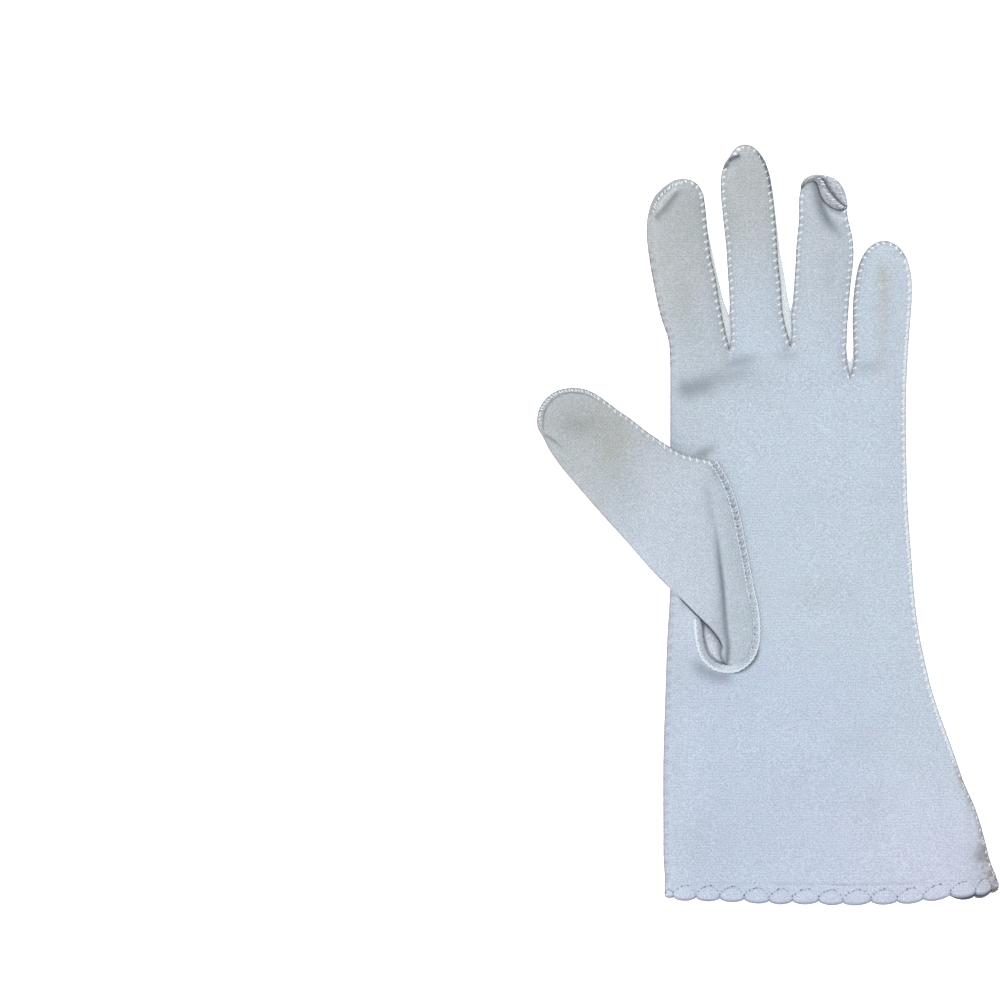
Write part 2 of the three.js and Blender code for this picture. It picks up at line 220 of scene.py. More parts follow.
# Where the thumb's fold leaves its lower side and runs on to the welt's foot
FOLD_LEAVES = (-24.2, -29.9)

# The notches between the shells of the wrist's edge
SHELL_NOTCHES = (
    (-34.4, -123.7), (-31.6, -123.9), (-24.1, -123.9), (-16.3, -124.1), (-8.2, -124.4), (0.2, -125),
    (7.9, -125), (16.7, -125), (24.7, -125.5), (34.1, -125.1), (42.8, -125.1), (51.5, -124.4),
    (60.6, -122.9), (68.9, -122.4), (74.3, -121.1), (76.9, -120.1),
)

# The outer seam by its place along the hand, for the shell at its end
EDGE_BY_Y = np.array(OUTER_SEAM[::-1])


def smooth_step(value: np.ndarray, low: float, high: float) -> np.ndarray:
    """Rises smoothly from 0 at low to 1 at high.

    Args:
        value: numbers.
        low: where the rise begins.
        high: where it ends.

    Returns:
        The share risen at each number.
    """
    share = np.clip((np.asarray(value, float) - low) / (high - low), 0, 1)
    return share * share * (3 - 2 * share)


def soft(value: np.ndarray, width: float | np.ndarray, middle: float = 0.0) -> np.ndarray:
    """1 where a value is at the middle, falling off smoothly over a width to both sides."""
    return np.exp(-(((value - middle) / width) ** 2))


def unit(rows: np.ndarray) -> np.ndarray:
    """Each row at a length of 1."""
    return rows / np.maximum(np.linalg.norm(rows, axis=1), 1e-9)[:, None]


def on_line(where: float, run: np.ndarray, rows: np.ndarray) -> np.ndarray:
    """The row that lies a length along a line whose points have lengths and rows."""
    return np.array([np.interp(where, run, column) for column in rows.T])


def curve_through(points: np.ndarray, step: float) -> np.ndarray:
    """A smooth curve through points, with even steps along it.

    Args:
        points: the points, one a row, in two or three dimensions.
        step: the length of a step in millimetres.

    Returns:
        Points along the curve, its two ends among them.
    """
    knots = np.asarray(points, float)
    knots = knots[np.concatenate([[True], np.linalg.norm(np.diff(knots, axis=0), axis=1) > 1e-3])]
    if len(knots) < 2:
        return np.repeat(knots, 3, axis=0)
    padded = np.vstack([2 * knots[0] - knots[1], knots, 2 * knots[-1] - knots[-2]])
    times = np.concatenate([[0.0], np.cumsum(np.linalg.norm(np.diff(padded, axis=0), axis=1) ** 0.5)])
    rows = []
    for i in range(1, len(padded) - 2):
        t0, t1, t2, t3 = times[i - 1:i + 3]
        t = np.linspace(t1, t2, 24, endpoint=False)[:, None]
        p0, p1, p2, p3 = padded[i - 1:i + 3]
        a1 = (t1 - t) / (t1 - t0) * p0 + (t - t0) / (t1 - t0) * p1
        a2 = (t2 - t) / (t2 - t1) * p1 + (t - t1) / (t2 - t1) * p2
        a3 = (t3 - t) / (t3 - t2) * p2 + (t - t2) / (t3 - t2) * p3
        b1 = (t2 - t) / (t2 - t0) * a1 + (t - t0) / (t2 - t0) * a2
        b2 = (t3 - t) / (t3 - t1) * a2 + (t - t1) / (t3 - t1) * a3
        rows.append((t2 - t) / (t2 - t1) * b1 + (t - t1) / (t2 - t1) * b2)
    fine = np.vstack(rows + [knots[-1:]])
    return even_steps(fine, step)


def even_steps(line: np.ndarray, step: float, count: int = 0) -> np.ndarray:
    """The same line with even steps.

    Args:
        line: points along the line.
        step: the length of a step.
        count: the number of steps, or 0 to take it from the step's length.

    Returns:
        Points along the line, its ends among them.
    """
    run = lengths_along(line)
    count = count or max(2, round(run[-1] / step))
    places = np.linspace(0, run[-1], count + 1)
    return np.stack([np.interp(places, run, column) for column in line.T], axis=1)


def lengths_along(line: np.ndarray) -> np.ndarray:
    """The length from a line's start to each of its points."""
    return np.concatenate([[0.0], np.cumsum(np.linalg.norm(np.diff(line, axis=0), axis=1))])


def inward_of(loop: np.ndarray) -> np.ndarray:
    """The direction into a closed outline at each of its points."""
    ahead = unit(np.roll(loop, -1, axis=0) - np.roll(loop, 1, axis=0))
    left = np.stack([-ahead[:, 1], ahead[:, 0]], axis=1)
    area = np.sum(loop[:, 0] * np.roll(loop[:, 1], -1) - np.roll(loop[:, 0], -1) * loop[:, 1])
    return left if area > 0 else -left


def triangle_turns(points: np.ndarray, faces: np.ndarray) -> np.ndarray:
    """Twice the area of each triangle, below zero where its corners run clockwise."""
    a, b, c = (points[faces[:, k]] for k in range(3))
    return (b - a)[:, 0] * (c - a)[:, 1] - (b - a)[:, 1] * (c - a)[:, 0]


def grid_faces(rows: int, wide: int, flip: bool = False) -> list[tuple[int, ...]]:
    """The faces between rows of points.

    Args:
        rows: the number of rows.
        wide: the number of points in a row.
        flip: whether the faces look the other way.

    Returns:
        The four corners of each face.
    """
    faces = []
    for start in (row * wide + i for row in range(rows - 1) for i in range(wide - 1)):
        a, b, c, d = start, start + wide, start + wide + 1, start + 1
        faces.append((a, d, c, b) if flip else (a, b, c, d))
    return faces


def inside(points: np.ndarray, outline: np.ndarray) -> np.ndarray:
    """Which points lie inside a closed outline.

    Args:
        points: the points, in two dimensions.
        outline: the outline's corners in order.

    Returns:
        True for each point that lies inside.
    """
    x, y = points[:, 0], points[:, 1]
    found = np.zeros(len(points), bool)
    following = np.roll(outline, -1, axis=0)
    for (x0, y0), (x1, y1) in zip(outline, following):
        if y0 == y1:
            continue
        spans = (y0 > y) != (y1 > y)
        found ^= spans & (x < (x1 - x0) * (y - y0) / (y1 - y0) + x0)
    return found


def tree_of(points: np.ndarray) -> kdtree.KDTree:
    """A tree that finds the nearest of some points."""
    tree = kdtree.KDTree(len(points))
    for i, p in enumerate(points):
        tree.insert((p[0], p[1], 0.0), i)
    tree.balance()
    return tree


def nearest(tree: kdtree.KDTree, points: np.ndarray) -> tuple[np.ndarray, np.ndarray]:
    """The nearest of a tree's points to each of some points.

    Args:
        tree: the tree.
        points: where to look from, in two dimensions.

    Returns:
        The index of the nearest point and the distance to it.
    """
    found = [tree.find((p[0], p[1], 0.0)) for p in points]
    return np.array([f[1] for f in found], int), np.array([f[2] for f in found], float)


@dataclass(frozen=True)
class Place:
    """Where points lie beside a line: how far, on which side and how far along."""

    away: np.ndarray
    side: np.ndarray
    share: np.ndarray


def beside(points: np.ndarray, line: np.ndarray) -> Place:
    """Where points lie beside a line.

    Args:
        points: the points, in two dimensions.
        line: the line's points.

    Returns:
        The distance, the side (1 on the left of the line's way) and the share along it.
    """
    best = np.full(len(points), 1e9)
    side = np.ones(len(points))
    along = np.zeros(len(points))
    run = lengths_along(line)
    for i in range(len(line) - 1):
        a, step = line[i], line[i + 1] - line[i]
        size = max(float(step @ step), 1e-12)
        t = np.clip(((points - a) @ step) / size, 0, 1)
        gap = points - (a + t[:, None] * step)
        distance = np.hypot(gap[:, 0], gap[:, 1])
        closer = distance < best
        best[closer] = distance[closer]
        side[closer] = np.sign(step[0] * gap[:, 1] - step[1] * gap[:, 0])[closer]
        along[closer] = ((run[i] + t * math.sqrt(size)) / run[-1])[closer]
    return Place(best, side, along)


@dataclass(frozen=True)
class Crease:
    """A valley or a ridge that runs across the cloth.

    depth is how far it dips, and below zero for a ridge. left and right are how far each
    of its sides reaches. fade_in and fade_out are the shares of its length over which it
    begins and ends, and the last number is how much shade is painted into the cloth along
    it: a painted highlight below zero, and a painted shadow as dark as a gap's above one.
    """

    line: tuple[Point, ...]
    depth: float
    left: float
    right: float
    fade_in: float = 0.25
    fade_out: float = 0.25
    worn: float = 0.0

    def path(self) -> np.ndarray:
        """The crease's middle line."""
        return curve_through(np.array(self.line), 0.7)

    def share(self, points: np.ndarray) -> np.ndarray:
        """The share of the crease's depth at each point."""
        place = beside(points, self.path())
        width = np.where(place.side > 0, self.left, self.right)
        fade = np.ones(len(points))
        if self.fade_in > 0:
            fade *= smooth_step(place.share, 0.0, self.fade_in)
        if self.fade_out > 0:
            fade *= smooth_step(1 - place.share, 0.0, self.fade_out)
        return soft(place.away, width) * fade


# Creases across the hand; the last number of each is the shade painted along it, a highlight below zero
HAND_CREASES = (
    Crease(((-32, 45), (-26.1, 45.2), (-20, 46.6), (-12, 49)), 1.8, 2.9, 3.1, 0.22, 0.55, 0.56),
    Crease(((-26, 45.6), (-17, 48.6), (-8, 51), (2, 53)), 0.5, 2.8, 3.4, 0.3, 0.5, 0.32),
    Crease(((-28.5, 40.6), (-26, 43), (-23, 45)), 0.5, 2.2, 2.4, 0.4, 0.4, 0.34),
    Crease(((-17, 54), (-12.2, 53.9), (-7, 55.2), (-0.5, 56.4)), 0.9, 1.5, 2.2, 0.3, 0.5, 0.45),
    Crease(((0, 56.4), (6.5, 56.5), (13, 58.2)), 0.4, 1.3, 2.0, 0.4, 0.5, 0.26),
    Crease(((-26.6, 22.9), (-22.4, 23.4), (-18.8, 25.2), (-15.6, 27.4)), 1.5, 1.5, 1.7, 0.4, 0.6, 0.5),
    Crease(((28.6, 51.2), (33, 52.4), (39, 51.4)), 1.0, 1.8, 2.2, 0.25, 0.5, 0.26),
    Crease(((-25.6, -43), (-22.6, -47.4), (-17.6, -50.2), (-9.6, -51.2)), 1.4, 1.4, 2.2, 0.3, 0.3, 0.46),
    Crease(((-2.8, -39.5), (-4.4, -44.4), (-6.3, -46.7), (-9.2, -48.6), (-13.4, -49.6)),
           0.3, 0.55, 0.5, 0.25, 0.3, 1.0),
    Crease(((-38.2, 101.6), (-35.6, 104.4), (-32.8, 107.8), (-30.4, 110.6), (-27.6, 112.3)),
           1.0, 0.7, 1.5, 0.1, 0.3, 0.56),
    Crease(((-37, 104.2), (-34.7, 107.8), (-31.8, 111), (-28.8, 112.7)),
           -0.6, 0.8, 0.8, 0.2, 0.25, -0.22),
    Crease(((-38.4, 104.2), (-37.4, 107.2), (-35.5, 110), (-33.4, 112), (-31.3, 113.3)),
           0.15, 0.38, 0.34, 0.1, 0.1, 0.85),
    Crease(((-39.4, 101.6), (-38.9, 105), (-37.2, 108.8), (-34.8, 111.6), (-31.6, 113.8)),
           0.0, 0.6, 0.7, 0.2, 0.2, 0.45),
    Crease(((-15.2, 118.6), (-13.9, 119.9), (-12.6, 120.9)), 0.8, 0.8, 0.9, 0.2, 0.3, 1.3),
    Crease(((-13.4, 121.2), (-12, 122.2), (-10.4, 122.9), (-8.8, 123.7)), 1.2, 0.7, 0.9, 0.1, 0.3, 1.5),
    Crease(((-11.6, 121.6), (-9.4, 119), (-8.8, 114)), 0.6, 1.0, 1.4, 0.1, 0.6, 0.15),
    Crease(((-12.6, 124.2), (-10.6, 125), (-7.6, 124.8)), -0.6, 0.9, 0.9),
    Crease(((-4.4, 124.8), (-2.5, 122.8), (-1, 119.8), (0.15, 116), (0.8, 111.6), (1.3, 107.5)),
           0.3, 0.45, 0.5, 0.12, 0.3, 1.75),
    Crease(((16.3, 113.7), (17.1, 110.1), (18.2, 105.7), (20.2, 101.4), (23.2, 97.8), (27.2, 94.2)),
           1.7, 1.1, 2.0, 0.0, 0.5, 0.74),
    Crease(((19.6, 105), (22.2, 102.6), (25.4, 100.4)), -0.9, 1.2, 1.2, worn=-0.4),
    Crease(((69.6, -106), (70.7, -110.2), (70.2, -114.6)), 1.0, 1.7, 2.3, 0.5, 0.45, 0.62),
    Crease(((-15, -64), (4, -71), (27, -69)), 0.5, 8.0, 7.0, worn=-0.04),
    Crease(((-6, -92), (22, -88), (46, -97)), 0.5, 8.0, 9.0, worn=0.04),
    Crease(((14, -117.4), (40, -117.2), (66, -116)), 0.0, 2.2, 3.4, 0.2, 0.1, -0.22),
    Crease(((-33, -117.4), (-22, -117.4), (-8, -117.4)), 0.0, 2.2, 3.4, 0.2, 0.4, -0.16),
    Crease(((2, 30), (19, 25), (38, 29)), 0.5, 8.0, 8.0),
    Crease(((12, 6), (19, -15), (17, -38)), -0.4, 7.0, 8.0),
    Crease(((20, 92), (21, 84), (19, 76)), 0.5, 2.6, 3.2, worn=0.1),
    Crease(((-31, 86), (-27, 77), (-27, 66)), 0.4, 3.0, 3.2, worn=0.06),
)

# Creases across the thumb, with shade painted along them as on the hand
THUMB_CREASES = (
    Crease(((-19.6, 10), (-18.2, 2), (-17, -5.6), (-16.1, -13), (-15.2, -20.5), (-14.6, -27.6),
            (-13.9, -35), (-13.3, -40.3), (-13.4, -43.8), (-13.8, -46.6)), 2.2, 0.55, 1.3, 0.5, 0.0, 0.6),
    Crease(((-17.4, -14), (-16.4, -24), (-15.4, -34), (-14.8, -43)), 0.4, 2.0, 2.6, 0.8, 0.1, 0.2),
    Crease(((-20.9, 16), (-19.4, 6), (-18, -2)), 0.6, 1.2, 1.8, 0.3, 0.3, 0.2),
    Crease(((-74.8, 30.2), (-72.4, 28.9), (-69.9, 27), (-67.6, 24.4)), 0.7, 0.45, 0.5, 0.0, 0.5, 0.6),
    Crease(((-75, 32), (-74.9, 36), (-73.4, 39.9), (-71, 42.3), (-67.7, 43.8), (-64, 44),
            (-60.8, 43.3), (-56.6, 41.4), (-52.4, 38.7)), 0.7, 0.34, 0.4, 0.0, 0.35, 0.6),
    Crease(((-58, 22), (-48, 16), (-40, 4)), 0.5, 4.0, 5.0, worn=0.05),
)

# Where the index finger's seam lies on the palm side, away from the outline
INDEX_CHAIN = (
    (-38.4, 104.2), (-37.4, 107.2), (-35.5, 110), (-33.4, 112), (-31.3, 113.3), (-28.2, 114.1),
)


@dataclass
class Border:
    """A closed outline made of runs, with the height and the kind of join at each point."""

    runs: list[tuple[tuple[Point, ...], Join]]
    step: float = 0.6
    points: np.ndarray = field(init=False)
    kinds: list[Join] = field(init=False)
    run_of: np.ndarray = field(init=False)

    def __post_init__(self) -> None:
        """Lays the points along the runs."""
        parts = []
        kinds = []
        run_of = []
        for number, (run, kind) in enumerate(self.runs):
            line = curve_through(np.array(run), self.step)[:-1]
            parts.append(line)
            kinds += [kind] * len(line)
            run_of += [number] * len(line)
        self.points = np.vstack(parts)
        self.kinds = kinds
        self.run_of = np.array(run_of)

    def run_indices(self, number: int) -> np.ndarray:
        """The indices of a run's points, with the first point of the next run."""
        own = np.flatnonzero(self.run_of == number)
        return np.append(own, (own[-1] + 1) % len(self.points))

    def each_run(self) -> Iterator[tuple[int, Join, np.ndarray, np.ndarray]]:
        """Each run's number, its join, its points' indices and how far along it they lie."""
        for number, (_, kind) in enumerate(self.runs):
            own = np.flatnonzero(self.run_of == number)
            yield number, kind, own, lengths_along(self.points[own])

    def inward(self) -> np.ndarray:
        """The direction into the cloth at each point."""
        return inward_of(self.points)


@dataclass(frozen=True)
class SeamLook:
    """How the cloth looks along a seam.

    The first number is how much highlight is painted on the seam's band, and rim how dark
    its outer edge is, which also widens above one; that darkness is partly painted shade
    under the seam's lip. tick is how much shadow is painted at the edge between two
    stitches, and dark how much is painted all along.
    """

    pale: float = 0.0
    rim: float = 0.8
    tick: float = 0.0
    dark: float = 0.0


HAND_SEAMS = {
    Run.INDEX_TIP: SeamLook(0.2, 0.9, 0.25),
    Run.INDEX_INNER: SeamLook(0.15, 0.8, 0.8),
    Run.MIDDLE_LEFT: SeamLook(0.25, 0.55, 0.3),
    Run.MIDDLE_TIP: SeamLook(0.15, 1.0, 0.2),
    Run.MIDDLE_RIGHT: SeamLook(0.15, 0.8, 0.85),
    Run.RING_LEFT: SeamLook(0.35, 0.6, 0.5),
    Run.RING_TIP: SeamLook(0.0, 1.0, 0.0, 0.85),
    Run.RING_RIGHT: SeamLook(0.3, 0.6, 0.5),
    Run.LITTLE_LEFT: SeamLook(0.3, 1.6, 0.25),
    Run.LITTLE_TIP: SeamLook(0.25, 1.5, 0.1),
    Run.OUTER_SEAM: SeamLook(1.0, 0.3, 0.25),
}
THUMB_SEAMS = {ThumbRun.TIP: SeamLook(0.25, 1.3, 0.55), ThumbRun.SEAM: SeamLook(0.3, 0.8, 0.25)}


@dataclass
class Panel:
    """A flat panel of cloth, meshed inside its border, that is then given heights.

    spacing is the distance between points in its middle. rows are the depths at which
    points follow its edges, and crease_rows the shifts at which they follow each crease
    that is narrower than sharp.
    """

    border: Border
    spacing: float
    seams: dict[int, SeamLook]
    holes: tuple[np.ndarray, ...] = ()
    creases: tuple[Crease, ...] = ()
    rows: tuple[float, ...] = (0.32, 0.68, 1.08, 1.55, 2.15, 2.9)
    crease_rows: tuple[float, ...] = (0.0, -0.45, 0.45, -0.95, 0.95)
    sharp: float = 1.2
    points: np.ndarray = field(init=False)
    faces: np.ndarray = field(init=False)
    rim_index: np.ndarray = field(init=False)
    tree: kdtree.KDTree = field(init=False)
    height: np.ndarray = field(init=False)
    edge_heights: np.ndarray = field(init=False)
    # Painted shade, painted highlight and painted shadow in gaps, at each point
    worn: np.ndarray = field(init=False)
    crease_highlight: np.ndarray = field(init=False)
    gap: np.ndarray = field(init=False)

    def __post_init__(self) -> None:
        """Meshes the panel and begins with it flat."""
        outline = self.border.points
        halfway = (outline + np.roll(outline, -1, axis=0)) / 2
        edge_tree = tree_of(np.vstack([outline, halfway, *self.holes]))
        sharp = [c.path() for c in self.creases if min(c.left, c.right) < self.sharp]
        rows = self.close_rows(edge_tree, sharp)
        rows = self.thinned(rows[self.allowed(rows)])
        middle = self.middle_points()
        middle = middle[nearest(edge_tree, middle)[1] > self.rows[-1] + 0.45 * self.spacing]
        if sharp:
            middle = middle[nearest(tree_of(np.vstack(sharp)), middle)[1] > 1.6]
        self.mesh(np.vstack([outline, *self.holes, rows, middle]))
        self.tree = tree_of(self.points)
        self.height = np.zeros(len(self.points))
        self.worn = np.zeros(len(self.points))
        self.crease_highlight = np.zeros(len(self.points))
        self.gap = np.zeros(len(self.points))

    def close_rows(self, edge_tree: kdtree.KDTree, sharp: list[np.ndarray]) -> np.ndarray:
        """The rows of points along the edges and the sharp creases.

        Args:
            edge_tree: the edges' points.
            sharp: the middle lines of the sharp creases.

        Returns:
            The points, also those that lie outside the cloth.
        """
        rows = []
        rims = [(self.border.points, self.border.inward())]
        rims += [(hole, -inward_of(hole)) for hole in self.holes]
        for depth in self.rows:
            for rim, way in rims:
                row = rim + way * depth
                row = row[:: 1 if depth < 1.8 else 2]
                rows.append(row[nearest(edge_tree, row)[1] > depth * 0.93])
        for path in sharp:
            way = -inward_of(path)
            for shift in self.crease_rows:
                row = path + way * shift
                rows.append(row[nearest(edge_tree, row)[1] > 0.5])
        return np.vstack(rows)

    def middle_points(self) -> np.ndarray:
        """A grid of points all over the cloth."""
        low, high = self.border.points.min(0), self.border.points.max(0)
        grid = []
        for number, y in enumerate(np.arange(low[1], high[1], self.spacing * 0.866)):
            xs = np.arange(low[0] + self.spacing / 2 * (number % 2), high[0], self.spacing)
            grid.append(np.stack([xs, np.full(len(xs), y)], axis=1))
        middle = np.vstack(grid)
        return middle[self.allowed(middle)]

    def mesh(self, everything: np.ndarray) -> None:
        """Joins points with triangles, inside the outline and outside the holes.

        Args:
            everything: the points, those of the outline and the holes first.
        """
        edges = []
        start = 0
        for rim in (self.border.points, *self.holes):
            count = len(rim)
            edges += [(start + i, start + (i + 1) % count) for i in range(count)]
            start += count
        made = geometry.delaunay_2d_cdt([Vector(p) for p in everything], edges, [], 1, 1e-5, True)
        self.points = np.array([tuple(v) for v in made[0]])
        faces = np.array([f for f in made[2] if len(f) == 3], int)
        faces = faces[self.allowed(self.points[faces].mean(1))]
        clockwise = triangle_turns(self.points, faces) < 0
        faces[clockwise] = faces[clockwise][:, ::-1]
        self.faces = faces
        place = {source: index for index, sources in enumerate(made[3]) for source in sources}
        self.rim_index = np.array([place[i] for i in range(len(self.border.points))])

    def allowed(self, points: np.ndarray) -> np.ndarray:
        """Which points lie on the cloth."""
        kept = inside(points, self.border.points)
        for hole in self.holes:
            kept &= ~inside(points, hole)
        return kept

    @staticmethod
    def thinned(points: np.ndarray, gap: float = 0.29) -> np.ndarray:
        """The points without those that crowd an earlier one."""
        cells: dict[tuple[int, int], list[np.ndarray]] = {}
        beside_it = [(i, j) for i in (-1, 0, 1) for j in (-1, 0, 1)]
        kept = []
        for p in points:
            cell = (int(p[0] // gap), int(p[1] // gap))
            around = [q for i, j in beside_it for q in cells.get((cell[0] + i, cell[1] + j), ())]
            if all((p[0] - q[0]) ** 2 + (p[1] - q[1]) ** 2 > gap * gap for q in around):
                cells.setdefault(cell, []).append(p)
                kept.append(p)
        return np.array(kept)

    def from_edge(self, kinds: tuple[Join, ...]) -> tuple[np.ndarray, np.ndarray]:
        """Where the nearest edge of some kinds lies from each point.

        Args:
            kinds: the kinds of join that count.

        Returns:
            The index of the nearest border point and the distance to it.
        """
        chosen = np.array([i for i, kind in enumerate(self.border.kinds) if kind in kinds])
        found, distance = nearest(tree_of(self.border.points[chosen]), self.points)
        return chosen[found], distance

    def look(self, near: np.ndarray, column: str) -> np.ndarray:
        """One number of the seams' looks, at each of some border points."""
        looks = [self.seams.get(number, SeamLook()) for number in range(len(self.border.runs))]
        return np.array([getattr(look, column) for look in looks])[self.border.run_of[near]]

    def flat_area(self) -> float:
        """The area of the cloth as it was cut, in square metres."""
        return float(np.abs(triangle_turns(self.points, self.faces)).sum() / 2 * MM * MM)

    def hold_edges(self, heights: np.ndarray) -> np.ndarray:
        """Puts the cloth's closed edges at their heights.

        Args:
            heights: the height at each of the border's points.

        Returns:
            The indices of the panel's points that it has set.
        """
        self.edge_heights = heights
        closed = np.array([kind is not Join.OPEN for kind in self.border.kinds])
        self.height[self.rim_index[closed]] = heights[closed]
        return self.rim_index[closed]

    def relax(self, passes: int, fixed: np.ndarray) -> None:
        """Smooths the heights.

        Args:
            passes: how many times.
            fixed: the points whose heights stay.
        """
        pairs = np.vstack([self.faces[:, [0, 1]], self.faces[:, [1, 2]], self.faces[:, [2, 0]]])
        pairs = np.unique(np.sort(pairs, axis=1), axis=0)
        a, b = pairs[:, 0], pairs[:, 1]
        count = np.bincount(a, minlength=len(self.points)) + np.bincount(b, minlength=len(self.points))
        kept = self.height[fixed].copy()
        for _ in range(passes):
            total = np.bincount(a, self.height[b], len(self.points))
            total += np.bincount(b, self.height[a], len(self.points))
            self.height = 0.5 * self.height + 0.5 * total / np.maximum(count, 1)
            self.height[fixed] = kept

    def press(self, room: np.ndarray) -> None:
        """Presses the creases in and keeps the shade and highlight painted along them.

        Args:
            room: the share of each that each point takes.
        """
        for crease in self.creases:
            share = crease.share(self.points)
            self.height -= crease.depth * share * room
            self.worn = np.maximum(self.worn, crease.worn * share)
            self.crease_highlight = np.maximum(self.crease_highlight, -crease.worn * share)
            self.gap = np.maximum(self.gap, (crease.worn - 1.0) * share)

    def pucker(self, away: np.ndarray, pitch: float, depth: float) -> None:
        """Draws the cloth in beside each stitch and paints shade and shadow ticks between two.

        Args:
            away: how far each of its points lies from the seam.
            pitch: the distance between stitches.
            depth: how far they draw it in.
        """
        near, _ = self.from_edge((Join.SEAM, Join.STRIP))
        local = np.zeros(len(self.border.points))
        for _, _, own, run in self.border.each_run():
            local[own] = run
        turn = 2 * np.pi * (local[near] - FIRST_STITCH) / pitch
        self.height -= depth * soft(away, 0.8, 1.3) * (0.5 + 0.5 * np.cos(turn))
        between = (0.5 - 0.5 * np.cos(turn)) ** 2
        self.worn = np.maximum(self.worn, 0.4 * between * soft(away, 0.5, 1.25))
        ticks = np.maximum(self.look(near, "tick") * between, self.look(near, "dark")) * soft(away, 0.5)
        self.gap = np.maximum(self.gap * (0.35 + 0.65 * between), ticks)

    def edge_marks(self) -> dict[str, np.ndarray]:
        """The numbers that the cloth's finish takes from its edges and creases, by name."""
        near, away = self.from_edge((Join.SEAM, Join.STRIP))
        share = self.look(near, "rim")
        rim = np.minimum(share, 1) * (1 - smooth_step(away / np.maximum(share, 1), 0.2, 0.85))
        # Painted highlight on the band just inside each seam
        band = self.look(near, "pale") * smooth_step(away, 0.3, 0.6) * (1 - smooth_step(away, 1.1, 1.5))
        _, fold_away = self.from_edge((Join.FOLD,))
        fold = 1 - smooth_step(fold_away, 0.15, 0.75)
        pale = np.maximum(band, self.crease_highlight)
        return {"rim": rim * (1 - fold), "pale": pale, "worn": self.worn, "gap": self.gap, "fold": fold}

    def at(self, points: np.ndarray) -> np.ndarray:
        """The height of the cloth at each point, from the three nearest of its own."""
        heights = []
        for p in points:
            near = self.tree.find_n((p[0], p[1], 0.0), 3)
            weights = np.array([1 / (n[2] + 0.05) for n in near])
            heights.append(float(np.sum(self.height[[n[1] for n in near]] * weights) / weights.sum()))
        return np.array(heights)


